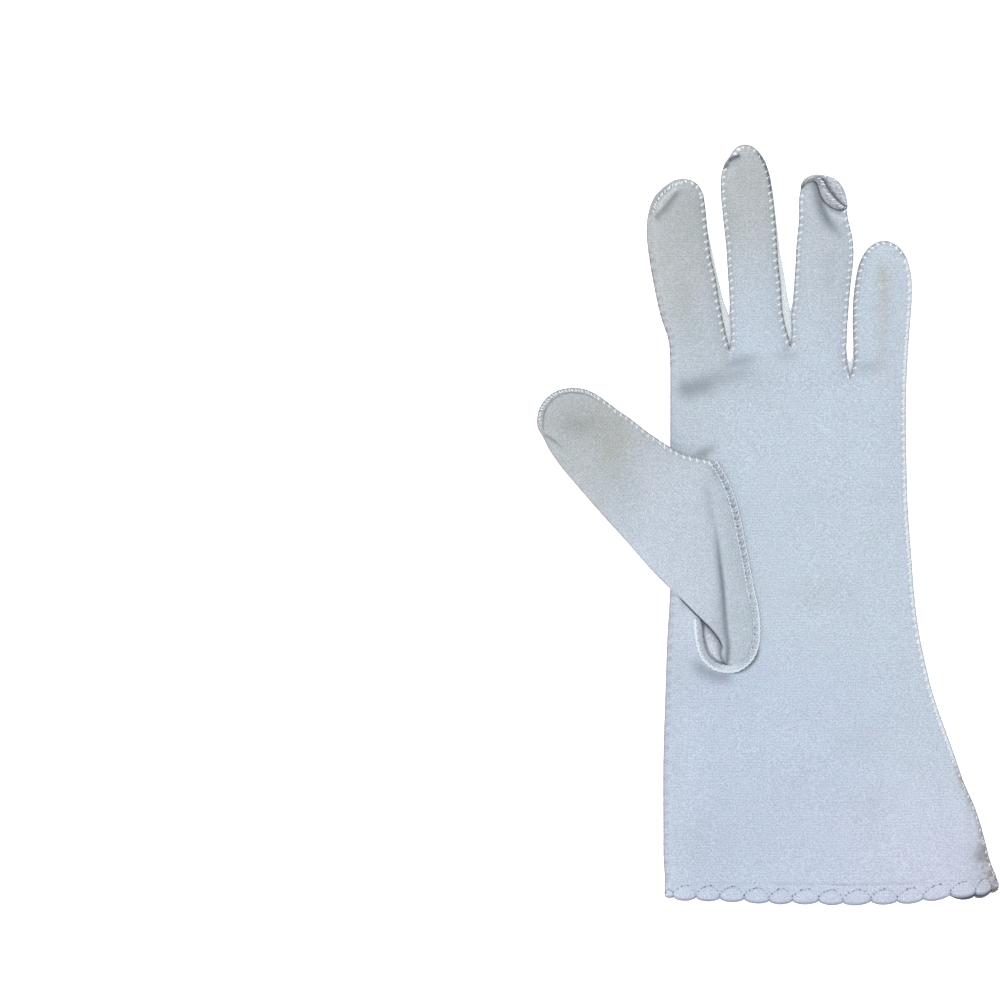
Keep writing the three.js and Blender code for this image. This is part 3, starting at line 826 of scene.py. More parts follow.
@dataclass
class Shape:
    """The points and faces of a piece as it is built, in millimetres."""

    points: list[np.ndarray] = field(default_factory=list)
    faces: list[tuple[int, ...]] = field(default_factory=list)
    marks: dict[str, list[np.ndarray]] = field(default_factory=dict)
    count: int = 0

    def add(self, points: np.ndarray, faces: list | np.ndarray, **marks: np.ndarray) -> int:
        """Adds points and faces.

        Args:
            points: the points, one a row.
            faces: the corners of each face, counted from the first of these points.
            marks: numbers for the finish, one a point.

        Returns:
            The index of the first point.
        """
        start = self.count
        self.points.append(np.asarray(points, float))
        self.faces += [tuple(int(i) + start for i in f) for f in faces]
        self.count += len(points)
        for name in sorted(set(self.marks) | set(marks)):
            row = self.marks.setdefault(name, [np.zeros(start)] if start else [])
            row.append(np.asarray(marks.get(name, np.zeros(len(points))), float))
        return start

    def add_panel(self, panel: Panel, flip: bool, marks: dict[str, np.ndarray]) -> int:
        """Adds a panel of cloth.

        Args:
            panel: the panel.
            flip: whether its outside looks down.
            marks: numbers for the finish, one a point.

        Returns:
            The index of its first point.
        """
        faces = panel.faces[:, ::-1] if flip else panel.faces
        return self.add(np.column_stack([panel.points, panel.height]), faces, **marks)

    def area(self) -> float:
        """The area of its faces, in square metres."""
        points = np.vstack(self.points)
        corners = points[np.array([(f[0], f[1], f[2], f[-1]) for f in self.faces])]
        first = np.cross(corners[:, 1] - corners[:, 0], corners[:, 2] - corners[:, 0])
        second = np.cross(corners[:, 2] - corners[:, 0], corners[:, 3] - corners[:, 0])
        return float((np.linalg.norm(first, axis=1) + np.linalg.norm(second, axis=1)).sum() / 2 * MM * MM)

    def join(self, faces: list[tuple[int, ...]]) -> None:
        """Adds faces between points that are there already."""
        self.faces += [tuple(int(i) for i in f) for f in faces]

    def tube(self, line: np.ndarray, radius: float | np.ndarray, sides: int = 6, flat: float = 1.0) -> None:
        """Adds a closed tube along a line.

        Args:
            line: the points of its middle.
            radius: its radius, or one for each point.
            sides: the number of its sides.
            flat: the share of the radius that its height keeps.
        """
        line = np.asarray(line, float)
        radii = np.broadcast_to(np.asarray(radius, float), (len(line),))
        way = unit(np.gradient(line, axis=0))
        across = np.cross(way, (0.0, 0.0, 1.0))
        across[np.linalg.norm(across, axis=1) < 1e-3] = (1.0, 0.0, 0.0)
        across = unit(across)
        up = np.cross(across, way)
        turns = 2 * np.pi * np.arange(sides) / sides
        rings = (line[:, None, :]
                 + across[:, None, :] * (np.cos(turns)[None, :, None] * radii[:, None, None])
                 + up[:, None, :] * (np.sin(turns)[None, :, None] * radii[:, None, None] * flat))
        points = np.vstack([rings.reshape(-1, 3), line[:1], line[-1:]])
        faces = []
        for i in range(len(line) - 1):
            for j in range(sides):
                a, b = i * sides + j, i * sides + (j + 1) % sides
                faces.append((a, a + sides, b + sides, b))
        first, last = len(points) - 2, len(points) - 1
        for j in range(sides):
            faces.append((first, j, (j + 1) % sides))
            base = (len(line) - 1) * sides
            faces.append((last, base + (j + 1) % sides, base + j))
        self.add(points, faces)

    def piece(self, name: str, finish: bpy.types.Material, slot: str = "", thickness: float = 0.0,
              replaces: tuple[str, ...] = ()) -> bpy.types.Object:
        """Makes the piece, in metres in the part's frame, and lets it ride on the part.

        Args:
            name: the piece's name.
            finish: its material.
            slot: not used.
            thickness: the cloth's thickness where the faces are its middle.
            replaces: the solids that it stands for.

        Returns:
            The piece.
        """
        points = np.vstack(self.points) + (DATUM_X, 0, 0)
        mesh = bpy.data.meshes.new(name)
        mesh.from_pydata((points * MM).tolist(), [], self.faces)
        mesh.update()
        for mark, rows in self.marks.items():
            attribute = mesh.attributes.new(mark, "FLOAT", "POINT")
            attribute.data.foreach_set("value", np.concatenate(rows).astype(np.float32))
        mesh.shade_smooth()
        mesh.materials.append(finish)
        made = bpy.data.objects.new(name, mesh)
        bpy.context.scene.collection.objects.link(made)
        if thickness:
            solid = made.modifiers.new("thickness", "SOLIDIFY")
            solid.thickness = thickness * MM
            solid.offset = 0
        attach(made, "root")
        if replaces:
            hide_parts(*replaces)
        log.info("%s: %d points, %d faces", name, len(mesh.vertices), len(mesh.polygons))
        return made


class Value:
    """A socket of a node tree. Python's operators on it add Math nodes."""

    def __init__(self, palette: "Palette", socket: bpy.types.NodeSocket) -> None:
        """Wraps a socket of a palette's tree."""
        self.palette = palette
        self.socket = socket

    def math(self, operation: str, *others: "Value | float") -> "Value":
        """A Math node of this value and others."""
        return self.palette.math(operation, self, *others)

    def __add__(self, other: "Value | float") -> "Value":
        """The sum."""
        return self.math("ADD", other)

    __radd__ = __add__

    def __mul__(self, other: "Value | float") -> "Value":
        """The product."""
        return self.math("MULTIPLY", other)

    __rmul__ = __mul__

    def __sub__(self, other: "Value | float") -> "Value":
        """The difference."""
        return self.math("SUBTRACT", other)

    def __rsub__(self, other: float) -> "Value":
        """The difference from a number."""
        return self.palette.math("SUBTRACT", other, self)

    def between(self, low: float, high: float) -> "Value":
        """0 below low, 1 above high and smooth between."""
        made = self.palette.node(
            "ShaderNodeMapRange", {"interpolation_type": "SMOOTHSTEP"},
            {"Value": self, "From Min": low, "From Max": high})
        return made["Result"]


class Palette:
    """A material's node tree, and the one place where its nodes are made."""

    def __init__(self, name: str) -> None:
        """Begins a material."""
        self.material = bpy.data.materials.new(name)
        self.material.use_nodes = True
        self.tree = self.material.node_tree
        self.tree.nodes.clear()

    def node(self, kind: str, settings: dict | None = None, inputs: dict | None = None) -> dict[str, Value]:
        """Adds a node.

        Args:
            kind: the node's type.
            settings: its settings, which are set first.
            inputs: the values or links of its sockets, by name or by number.

        Returns:
            Its outputs by name, and by number where names repeat.
        """
        made = self.tree.nodes.new(kind)
        for name, value in (settings or {}).items():
            setattr(made, name, value)
        for name, value in (inputs or {}).items():
            socket = made.inputs[name]
            if isinstance(value, Value):
                self.tree.links.new(value.socket, socket)
            else:
                socket.default_value = value
        found: dict = {s.name: Value(self, s) for s in made.outputs if s.enabled}
        found.update({i: Value(self, s) for i, s in enumerate(made.outputs)})
        return found

    def math(self, operation: str, *values: Value | float) -> Value:
        """A Math node of values and numbers."""
        inputs = {i: v for i, v in enumerate(values)}
        return self.node("ShaderNodeMath", {"operation": operation}, inputs)[0]

    def mark(self, name: str) -> Value:
        """A number that the mesh holds at each point."""
        return self.node("ShaderNodeAttribute", {"attribute_name": name})["Fac"]

    def blend(self, share: Value | float, low: Value | tuple, high: Value | tuple,
              kind: str = "MIX") -> Value:
        """A colour between two others.

        Args:
            share: 0 gives low and 1 gives high.
            low: the one colour.
            high: the other colour.
            kind: how they mix.

        Returns:
            The colour.
        """
        made = self.node("ShaderNodeMix", {"data_type": "RGBA", "blend_type": kind},
                         {0: share, 6: low, 7: high})
        return made[2]

    def place(self, stretch: tuple[float, float, float] = (1, 1, 1)) -> Value:
        """The place on the object in millimetres, stretched."""
        here = self.node("ShaderNodeTexCoord")["Object"]
        return self.node("ShaderNodeVectorMath", {"operation": "MULTIPLY"},
                         {0: here, 1: tuple(s / MM for s in stretch)})[0]

    def noise(self, where: Value, size: float, detail: float = 2.0, roughness: float = 0.5) -> Value:
        """Noise whose blotches have a size in millimetres."""
        return self.node("ShaderNodeTexNoise", {},
                         {"Vector": where, "Scale": 1 / size, "Detail": detail, "Roughness": roughness})[0]

    def bump(self, height: Value, strength: float, depth: float) -> Value:
        """A bumpy normal.

        Args:
            height: the relief from 0 to 1.
            strength: how strongly it shows.
            depth: how deep it is, in millimetres.

        Returns:
            The normal.
        """
        return self.node("ShaderNodeBump", {},
                         {"Height": height, "Strength": strength, "Distance": depth * MM})[0]

    def surface(self, inputs: dict) -> bpy.types.Material:
        """Ends the material with its shader.

        Args:
            inputs: the values or links of the shader's sockets.

        Returns:
            The material.
        """
        shader = self.node("ShaderNodeBsdfPrincipled", {}, inputs)["BSDF"]
        self.node("ShaderNodeOutputMaterial", {}, {"Surface": shader})
        return self.material


def tone(red: int, green: int, blue: int, gain: float = 1.0) -> tuple[float, float, float, float]:
    """A colour as it is seen, turned into the shader's linear one.

    Args:
        red: 0 to 255.
        green: 0 to 255.
        blue: 0 to 255.
        gain: how much light the linear colour keeps.

    Returns:
        The linear colour.
    """
    def linear(value: int) -> float:
        """One channel."""
        share = value / 255
        low = share / 12.92
        return gain * (low if share <= 0.04045 else ((share + 0.055) / 1.055) ** 2.4)

    return linear(red), linear(green), linear(blue), 1.0


# The share of the light on the floor that a colour has to give back to look as bright as it does
CLOTH_GAIN = 0.83


@dataclass(frozen=True)
class KnitCloth:
    """Fine light blue knit, rubbed and a little dirty at the fingertips, with shade and highlights painted
    into its colour.
    """

    name: str
    grain_turn: float = 0.0
    palm: tuple = (196, 210, 223)
    fingers: tuple = (184, 192, 193)
    cuff: tuple = (205, 212, 229)
    # Grime, and painted shade in some dents of the palm and beside its folded side
    soil: tuple = (128, 135, 130)
    stain: tuple = (176, 174, 160)
    # A darker outline at the seams' edges: the edge's own tone and painted shade under its lip
    rim: tuple = (158, 156, 163)
    fold: tuple = (176, 166, 176)
    # Brown grime at the frayed corner, and painted shade on the lower layer under the end shells
    dust: tuple = (148, 138, 134)
    # Painted shade: creases, dents, folds, notches and the cloth between stitches
    worn: tuple = (118, 126, 136)
    # Painted shadow in narrow gaps: under overhanging edges, along seams and between stitches
    gap: tuple = (62, 66, 76)
    # Painted highlight: ridges, the shells' puffs, seam bands and the thumb's pocket
    pale: tuple = (236, 241, 245)
    lilac: tuple = (208, 200, 226)
    cool: tuple = (186, 204, 234)

    def material(self) -> bpy.types.Material:
        """The cloth's material."""
        p = Palette(self.name)
        here = p.place()
        turned = p.node("ShaderNodeVectorRotate", {"rotation_type": "Z_AXIS"},
                        {"Vector": here, "Angle": self.grain_turn})[0]
        ribbed = p.node("ShaderNodeVectorMath", {"operation": "MULTIPLY"}, {0: turned, 1: (1.0, 1.9, 1.0)})[0]
        rows = p.node("ShaderNodeTexWave", {"bands_direction": "Y"},
                      {"Vector": turned, "Scale": 0.33, "Distortion": 2.5, "Detail": 2.0,
                       "Detail Scale": 3.0})[1]
        knit = p.noise(ribbed, 0.62, 1.0, 0.6).between(0.34, 0.66)
        fleck = p.noise(here, 0.4, 0.0, 0.5).between(0.36, 0.64)
        cloudy = p.noise(here, 9.0, 3.0, 0.55)
        broad = p.noise(here, 34.0, 2.0, 0.5)
        tint = p.noise(here, 5.0, 2.0, 0.6).between(0.35, 0.65)
        mottle = p.noise(here, 1.7, 2.0, 0.6).between(0.38, 0.62)
        layers = (
            (p.mark("fingers"), self.fingers),
            (p.mark("cuff"), self.cuff),
            (p.mark("cool"), self.cool),
            (tint * 0.16, self.lilac),
            (p.mark("soil") * (0.4 + 0.7 * cloudy), self.soil),
            (p.mark("stain") * (2.2 * cloudy - 0.6), self.stain),
            (p.mark("pale") * (0.6 + 0.4 * fleck), self.pale),
            (p.mark("dust") * (0.35 + 0.65 * mottle * (0.6 + fleck)), self.dust),
            (p.mark("worn") * (0.72 + 0.5 * fleck), self.worn),
            (p.mark("rim") * (0.6 + 0.5 * fleck), self.rim),
            (p.mark("fold") * (0.35 + 0.85 * rows), self.fold),
            (p.mark("gap"), self.gap),
        )
        colour = tone(*self.palm, CLOTH_GAIN)
        for share, seen in layers:
            colour = p.blend(share, colour, tone(*seen, CLOTH_GAIN))
        shade = 0.71 + 0.16 * knit + 0.22 * fleck + 0.07 * rows + 0.07 * cloudy + 0.06 * broad
        grey = p.node("ShaderNodeCombineColor", {}, {0: shade, 1: shade, 2: shade})[0]
        colour = p.blend(1.0, colour, grey, "MULTIPLY")
        return p.surface({
            "Base Color": colour,
            "Roughness": 0.86,
            "Sheen Weight": 0.12,
            "Sheen Roughness": 0.4,
            "Normal": p.bump(knit * 0.6 + fleck * 0.4, 0.5, 0.16),
        })


@dataclass(frozen=True)
class Thread:
    """Pale glossy sewing thread."""

    name: str = "sewing_thread"
    colour: tuple = (238, 246, 250)

    def material(self) -> bpy.types.Material:
        """The thread's material."""
        p = Palette(self.name)
        twist = p.noise(p.place(), 0.35, 1.0)
        colour = p.blend(twist.between(0.3, 0.7), tone(*(c - 24 for c in self.colour), 0.9),
                         tone(*self.colour, 0.9))
        return p.surface({"Base Color": colour, "Roughness": 0.45, "Normal": p.bump(twist, 0.3, 0.05)})


@dataclass(frozen=True)
class NeedleHoleShadow:
    """The shadow inside a needle's hole."""

    name: str = "needle_hole_shadow"
    colour: tuple = (96, 104, 122)

    def material(self) -> bpy.types.Material:
        """The hole's material."""
        p = Palette(self.name)
        shade = p.noise(p.place(), 0.6, 1.0)
        colour = p.blend(shade, tone(*self.colour), tone(*(c + 30 for c in self.colour)))
        return p.surface({"Base Color": colour, "Roughness": 0.95})


# How grey each finger is: where along it the grey begins and ends, and how much of it there is
FINGER_XS = (-35.0, -15.0, -11.0, 4.0, 9.0, 25.0, 30.0)
FINGER_GREY = (
    (30.0, 34.0, 62.0, 62.0, 52.0, 52.0, 60.0),
    (85.0, 85.0, 112.0, 112.0, 95.0, 95.0, 100.0),
    (1.0, 1.0, 1.0, 1.0, 0.5, 0.45, 0.1),
)


@dataclass(frozen=True)
class Spot:
    """A soft round spot on the cloth: how strong it is, where its middle lies and its size."""

    amount: float
    x: float
    y: float
    wide: float
    high: float


PALM_GREY = (Spot(0.2, -26.0, 33.0, 11.0, 14.0), Spot(-0.35, -20.0, 72.0, 4.0, 12.0))
# Grime on the hand, and painted shade in some of its dents, such as along the knuckles and below the welt's
# foot
HAND_SOIL_AND_SHADE = (
    Spot(0.16, -30.0, 104.0, 9.0, 14.0), Spot(0.08, -10.0, 112.0, 6.0, 14.0),
    Spot(0.1, -25.0, 66.0, 10.0, 9.0), Spot(0.08, 17.0, 100.0, 6.0, 9.0),
    Spot(0.09, -27.0, 32.0, 10.0, 14.0), Spot(0.14, -25.0, -50.0, 9.0, 9.0),
    Spot(0.15, -28.0, -107.0, 16.0, 15.0), Spot(0.05, 0.0, -105.0, 16.0, 12.0),
    Spot(0.13, -12.0, 48.0, 20.0, 7.0), Spot(0.13, 16.0, -22.5, 11.0, 5.0),
    Spot(0.11, 32.0, -72.0, 9.0, 6.0), Spot(0.1, 35.0, -95.0, 6.0, 8.0),
)
THUMB_SOIL = (
    Spot(0.55, -63.5, 33.5, 7.0, 4.2), Spot(0.2, -52.0, 29.0, 6.0, 9.0), Spot(0.14, -67.0, 40.0, 9.0, 5.0),
)
HAND_STAIN = (Spot(0.2, 38.0, 83.0, 3.4, 8.0),)
THUMB_STAIN = (Spot(0.5, -58.0, 36.5, 7.0, 4.5), Spot(0.5, -51.5, 26.5, 5.0, 7.5))
CORNER_DUST = (
    Spot(0.9, 75.5, -116.5, 3.2, 4.0), Spot(0.45, 71.5, -103.0, 1.8, 9.0), Spot(0.9, 77.5, -121.6, 4.0, 2.0),
    Spot(0.4, 66.8, -90.0, 1.4, 9.0), Spot(0.34, 71.0, -112.0, 5.0, 8.5),
)


def spotted(points: np.ndarray, spots: tuple[Spot, ...]) -> np.ndarray:
    """How strong some spots are together at each point."""
    x, y = points[:, 0], points[:, 1]
    total = np.zeros(len(points))
    for s in spots:
        total += s.amount * np.exp(-(((x - s.x) / s.wide) ** 2 + ((y - s.y) / s.high) ** 2))
    return total


def cloth_marks(points: np.ndarray, on_thumb: bool = False) -> dict[str, np.ndarray]:
    """The numbers that a cloth's finish takes from where each point lies.

    Args:
        points: the points, in two dimensions.
        on_thumb: whether they are the thumb's, which greys along its own length.

    Returns:
        The numbers by name.
    """
    x, y = points[:, 0], points[:, 1]
    if on_thumb:
        along = -0.72 * (x + 20.0) + 0.69 * (y + 10.0)
        fingers = 0.2 + 0.75 * smooth_step(along, 12.0, 58.0)
        soil = 0.06 + spotted(points, THUMB_SOIL)
        stain = spotted(points, THUMB_STAIN)
        cool = np.zeros(len(points))
    else:
        begins, ends, most = (np.interp(x, FINGER_XS, row) for row in FINGER_GREY)
        fingers = most * smooth_step(y, begins, ends) + spotted(points, PALM_GREY)
        # Painted shade beside the folded side of the palm
        by_fold = soft(x, 4.0, -32.0) * smooth_step(-y, 15.0, 32.0) * smooth_step(y, -98.0, -78.0)
        soil = spotted(points, HAND_SOIL_AND_SHADE) + 0.15 * by_fold
        little_finger = soft(x - 0.02 * (y - 52), 2.4, 37.6) * smooth_step(y, 46, 58)
        stain = 0.55 * little_finger * smooth_step(90 - y, 0, 8) + spotted(points, HAND_STAIN)
        cool = 0.15 + 0.18 * smooth_step(x, -36.0, -20.0) - 0.25 * smooth_step(x, 10.0, 52.0)
        cool = np.maximum(smooth_step(-y, 30.0, 55.0) * cool, 0.0)
    cuff = smooth_step(-y, 60.0, 112.0) * (0.4 + 0.5 * smooth_step(x, -30, 60))
    beside_thumb = smooth_step(x, -50, -38) * smooth_step(-x, 10, 20) * smooth_step(24 - y, 0, 12)
    cuff = np.maximum(cuff, 0.3 * beside_thumb)
    dust = spotted(points, CORNER_DUST)
    return {"fingers": fingers, "soil": soil, "stain": stain, "cuff": cuff, "cool": cool, "dust": dust}


# How high the ring finger's sides begin beside its twisted tip, and the runs that lead away
# from a fingertip, where the other strips' runs lead up to one
TWIST_HEIGHTS = {Run.RING_LEFT: 2.4, Run.RING_RIGHT: 4.0}
FROM_TIP = (Run.INDEX_INNER, Run.MIDDLE_RIGHT, Run.RING_RIGHT)


@dataclass
class Hand:
    """The trank: palm and back in one cloth, folded on the forefinger's side.

    The palm rises from its flange to top_heights, which go by the place along the hand.
    It does so over roll and by the power roll_power, each for the palm and the fingers.
    """

    cloth: bpy.types.Material
    roll: tuple[float, float] = (22.0, 9.0)
    roll_power: tuple[float, float] = (3.4, 2.8)
    top_heights: tuple[Point, ...] = (
        (-122.0, 8.2), (-100.0, 8.6), (15.0, 8.5), (32.0, 8.2), (46.0, 7.6), (60.0, 7.2), (128.0, 7.0),
    )
    flange: float = 0.5
    back_roll: float = 3.2
    front: Panel = field(init=False)
    back: Panel = field(init=False)

    def __post_init__(self) -> None:
        """Makes the trank's two sides."""
        self.front = self.palm_side()
        self.back = self.back_side()

    @staticmethod
    def hole() -> np.ndarray:
        """The outline of the thumb's hole."""
        far_side = curve_through(np.array(HOLE_FAR_SIDE), 0.8)[:-1]
        return np.vstack([curve_through(np.array(WELT), 0.6)[:-1], far_side])

    @staticmethod
    def ramp(number: int, run: np.ndarray) -> np.ndarray:
        """How far a finger's side has risen along its run, away from the fingertip."""
        return smooth_step(run if number in FROM_TIP else run[-1] - run, 0, STRIP_RAMP)

    def palm_side(self) -> Panel:
        """The side of the hand that lies up."""
        border = Border(list(zip(PALM_RUNS, HAND_JOINS)))
        panel = Panel(border, 1.5, HAND_SEAMS, (self.hole(),), HAND_CREASES)
        heights = np.full(len(border.points), SEAM_TOP)
        for number, kind, own, run in border.each_run():
            if kind is Join.FOLD:
                heights[own] = FOLD_TOP + (SEAM_TOP - FOLD_TOP) * smooth_step(run, run[-1] - 9, run[-1])
            if kind is Join.STRIP:
                low = TWIST_HEIGHTS.get(number, SEAM_TOP)
                heights[own] = low + (STRIP_TOP - low) * self.ramp(number, run)
            if number == Run.RING_TIP:
                share = run / run[-1]
                heights[own] = 2.4 + 1.9 * smooth_step(share, 0, 0.3) - 0.3 * smooth_step(share, 0.8, 1)
        near, away = panel.from_edge((Join.FOLD, Join.SEAM, Join.STRIP))
        x, y = panel.points[:, 0], panel.points[:, 1]
        finger = smooth_step(y, 22.0, 58.0)
        reach = self.roll[0] + (self.roll[1] - self.roll[0]) * finger
        power = self.roll_power[0] + (self.roll_power[1] - self.roll_power[0]) * finger
        top = np.interp(y, *np.array(self.top_heights).T)
        share = np.clip((away - self.flange) / reach, 0, 1)
        low = heights[near]
        panel.height = low + (top - low) * (1 - (1 - share) ** power)
        panel.relax(14, panel.hold_edges(heights))
        room = 1 - np.exp(-away / 1.1)
        panel.press(room)
        waves = 0.10 * np.sin(x / 5.3 + 0.8 * np.sin(y / 11.0)) * np.sin(y / 7.9 + 0.6 * np.sin(x / 8.0))
        panel.height += waves * room
        panel.pucker(away, STITCH_PITCH, 0.14)
        _, to_wrist = panel.from_edge((Join.OPEN,))
        panel.height -= 0.7 * (1 - smooth_step(to_wrist, 0.2, 1.8))
        return panel

    def back_side(self) -> Panel:
        """The side of the hand that rests on the floor."""
        border = Border(list(zip(BACK_RUNS, HAND_JOINS)))
        panel = Panel(border, 1.9, HAND_SEAMS)
        heights = np.full(len(border.points), SEAM_LOW)
        for number, kind, own, run in border.each_run():
            if kind is Join.FOLD:
                heights[own] = FOLD_LOW
            if kind is Join.STRIP:
                heights[own] = SEAM_LOW + (STRIP_LOW - SEAM_LOW) * self.ramp(number, run)
        near, away = panel.from_edge((Join.FOLD, Join.SEAM, Join.STRIP))
        share = np.clip(away / self.back_roll, 0, 1)
        panel.height = BACK_REST + (heights[near] - BACK_REST) * (1 - share) ** 2.4
        panel.hold_edges(heights)
        return panel

    def build(self) -> bpy.types.Object:
        """The trank as one piece."""
        shape = Shape()
        edges = []
        for panel, flip in ((self.front, False), (self.back, True)):
            marks = cloth_marks(panel.points) | panel.edge_marks()
            self.fray(panel, marks)
            start = shape.add_panel(panel, flip, marks)
            edges.append(panel.rim_index[panel.border.run_indices(Run.FOLD_SIDE)] + start)
        wall(shape, *edges)
        return shape.piece("trank_cloth", self.cloth, "palm_cloth", CLOTH, ("trank",))

    @staticmethod
    def fray(panel: Panel, marks: dict[str, np.ndarray]) -> None:
        """Browns the outer seam's lower end, where it has frayed.

        Args:
            panel: the palm or the back.
            marks: its numbers, which it changes.
        """
        near, away = panel.from_edge((Join.SEAM,))
        down = -panel.points[:, 1]
        outer = (panel.border.run_of[near] == Run.OUTER_SEAM) * smooth_step(down, 74.0, 86.0)
        end = smooth_step(down, 98.0, 112.0)
        frayed = (0.7 + 0.35 * end) * soft(away, 1.1) + (0.15 + 0.35 * end) * soft(away, 3.5 + 3.5 * end)
        marks["dust"] = np.maximum(marks["dust"], outer * frayed)
        marks["rim"] = np.maximum(marks["rim"], 0.7 * outer * (1 - smooth_step(away, 0.3, 0.8)))
        marks["pale"] = marks["pale"] * (1 - outer)


def wall(shape: Shape, upper: np.ndarray, lower: np.ndarray) -> None:
    """Joins two edges that lie one over the other, as the cloth does at a fold.

    Args:
        shape: the shape that holds both.
        upper: the upper edge's points.
        lower: the lower edge's points.
    """
    everything = np.vstack(shape.points)
    rows = [upper]
    for share in (1 / 3, 2 / 3):
        between = everything[upper] * (1 - share) + everything[lower] * share
        marks = {name: np.concatenate(row)[upper] for name, row in shape.marks.items()}
        marks["fold"] = marks["fold"] * 0.2
        start = shape.add(between, [], **marks)
        rows.append(np.arange(start, start + len(between)))
    rows.append(lower)
    for a, b in zip(rows, rows[1:]):
        shape.join([(a[i], a[i + 1], b[i + 1], b[i]) for i in range(len(a) - 1)])


@dataclass
class SideStrip:
    """A fourchette: the narrow strip that joins the sides of two fingers.

    runs are the border's runs on its two fingers, and steps is the number of steps along
    each. shares say where its rows lie between the palm's edge at 0 and the back's at 1.
    """

    name: str
    hand: Hand
    runs: tuple[Run, Run]
    steps: int = 110
    shares: tuple[float, ...] = (
        0.0, 0.04, 0.08, 0.12, 0.16, 0.22, 0.3, 0.38, 0.46, 0.53, 0.58, 0.64, 0.72, 0.8, 0.9, 1.0,
    )

    def edge(self, panel: Panel) -> np.ndarray:
        """The seam along both fingers on one side of the hand, with the direction inwards.

        Args:
            panel: the palm or the back.

        Returns:
            Rows of x, y, z and the direction's x and y.
        """
        parts = []
        inward = panel.border.inward()
        for number in self.runs:
            own = panel.border.run_indices(number)
            rows = np.column_stack([panel.border.points[own], panel.edge_heights[own], inward[own]])
            parts.append(even_steps(rows, 1.0, self.steps))
        return np.vstack([parts[0], parts[1][1:]])

    def surface(self, shape: Shape) -> None:
        """Adds the strip's surface to a shape."""
        count = self.steps
        upper = self.edge(self.hand.front)
        lower = self.edge(self.hand.back)
        along = np.concatenate([np.linspace(0, 1, count + 1), np.linspace(1, 0, count + 1)[1:]])
        tuck = 0.25 + 0.35 * smooth_step(along, 0.0, 0.3)
        run = np.concatenate([lengths_along(part) for part in (upper[:count + 1, :2], upper[count:, :2])])
        run = np.delete(run, count + 1)
        between = (0.5 - 0.5 * np.cos(2 * np.pi * (run - FIRST_STITCH) / STITCH_PITCH)) ** 2
        rows = []
        marks: dict[str, list[np.ndarray]] = {}
        for share in self.shares:
            across = float(smooth_step(share, 0.1, 0.58))
            down = float(smooth_step(share, 0.58, 1.0))
            row = upper[:, :3] * (1 - across) + lower[:, :3] * across
            way = upper[:, 3:5] * (1 - across) + lower[:, 3:5] * across
            fold = float(soft(share, 0.06, 0.09))
            line = float(soft(share, 0.05, 0.07))
            row[:, :2] += way * (0.22 + (tuck - 0.22) * fold - 0.12 * math.sin(math.pi * down))[:, None]
            shelf = upper[:, 2] - 0.3 - 0.4 * fold - 0.35 * min(share / 0.1, 1.0)
            row[:, 2] = shelf * (1 - down) + (lower[:, 2] + 0.1) * down
            rows.append(row)
            found = cloth_marks(row[:, :2])
            # Painted shade and stitch shadows along the palm's seam line, and a faint darker outline
            found["rim"] = np.full(len(row), 0.12 * float(soft(share, 0.05, 0.6)))
            found["worn"] = np.full(len(row), 0.4 * line)
            found["gap"] = line * (0.15 + 0.6 * between)
            for name, values in found.items():
                marks.setdefault(name, []).append(values)
        joined = {name: np.concatenate(values) for name, values in marks.items()}
        shape.add(np.vstack(rows), grid_faces(len(rows), len(upper)), **joined)

    def build(self, cloth: bpy.types.Material) -> bpy.types.Object:
        """The strip as one piece."""
        shape = Shape()
        self.surface(shape)
        if self.name == "fourchette_ring_little":
            RingTip().surface(shape)
        name = self.name.replace("fourchette", "side_strip")
        made = shape.piece(name, cloth, "strip_cloth", 0.4, (self.name,))
        border = self.hand.front.border
        length = sum(lengths_along(border.points[border.run_indices(run)])[-1] for run in self.runs) * MM
        log.info("%s: area %.6f, length %.4f", made.name, shape.area(), length)
        return made


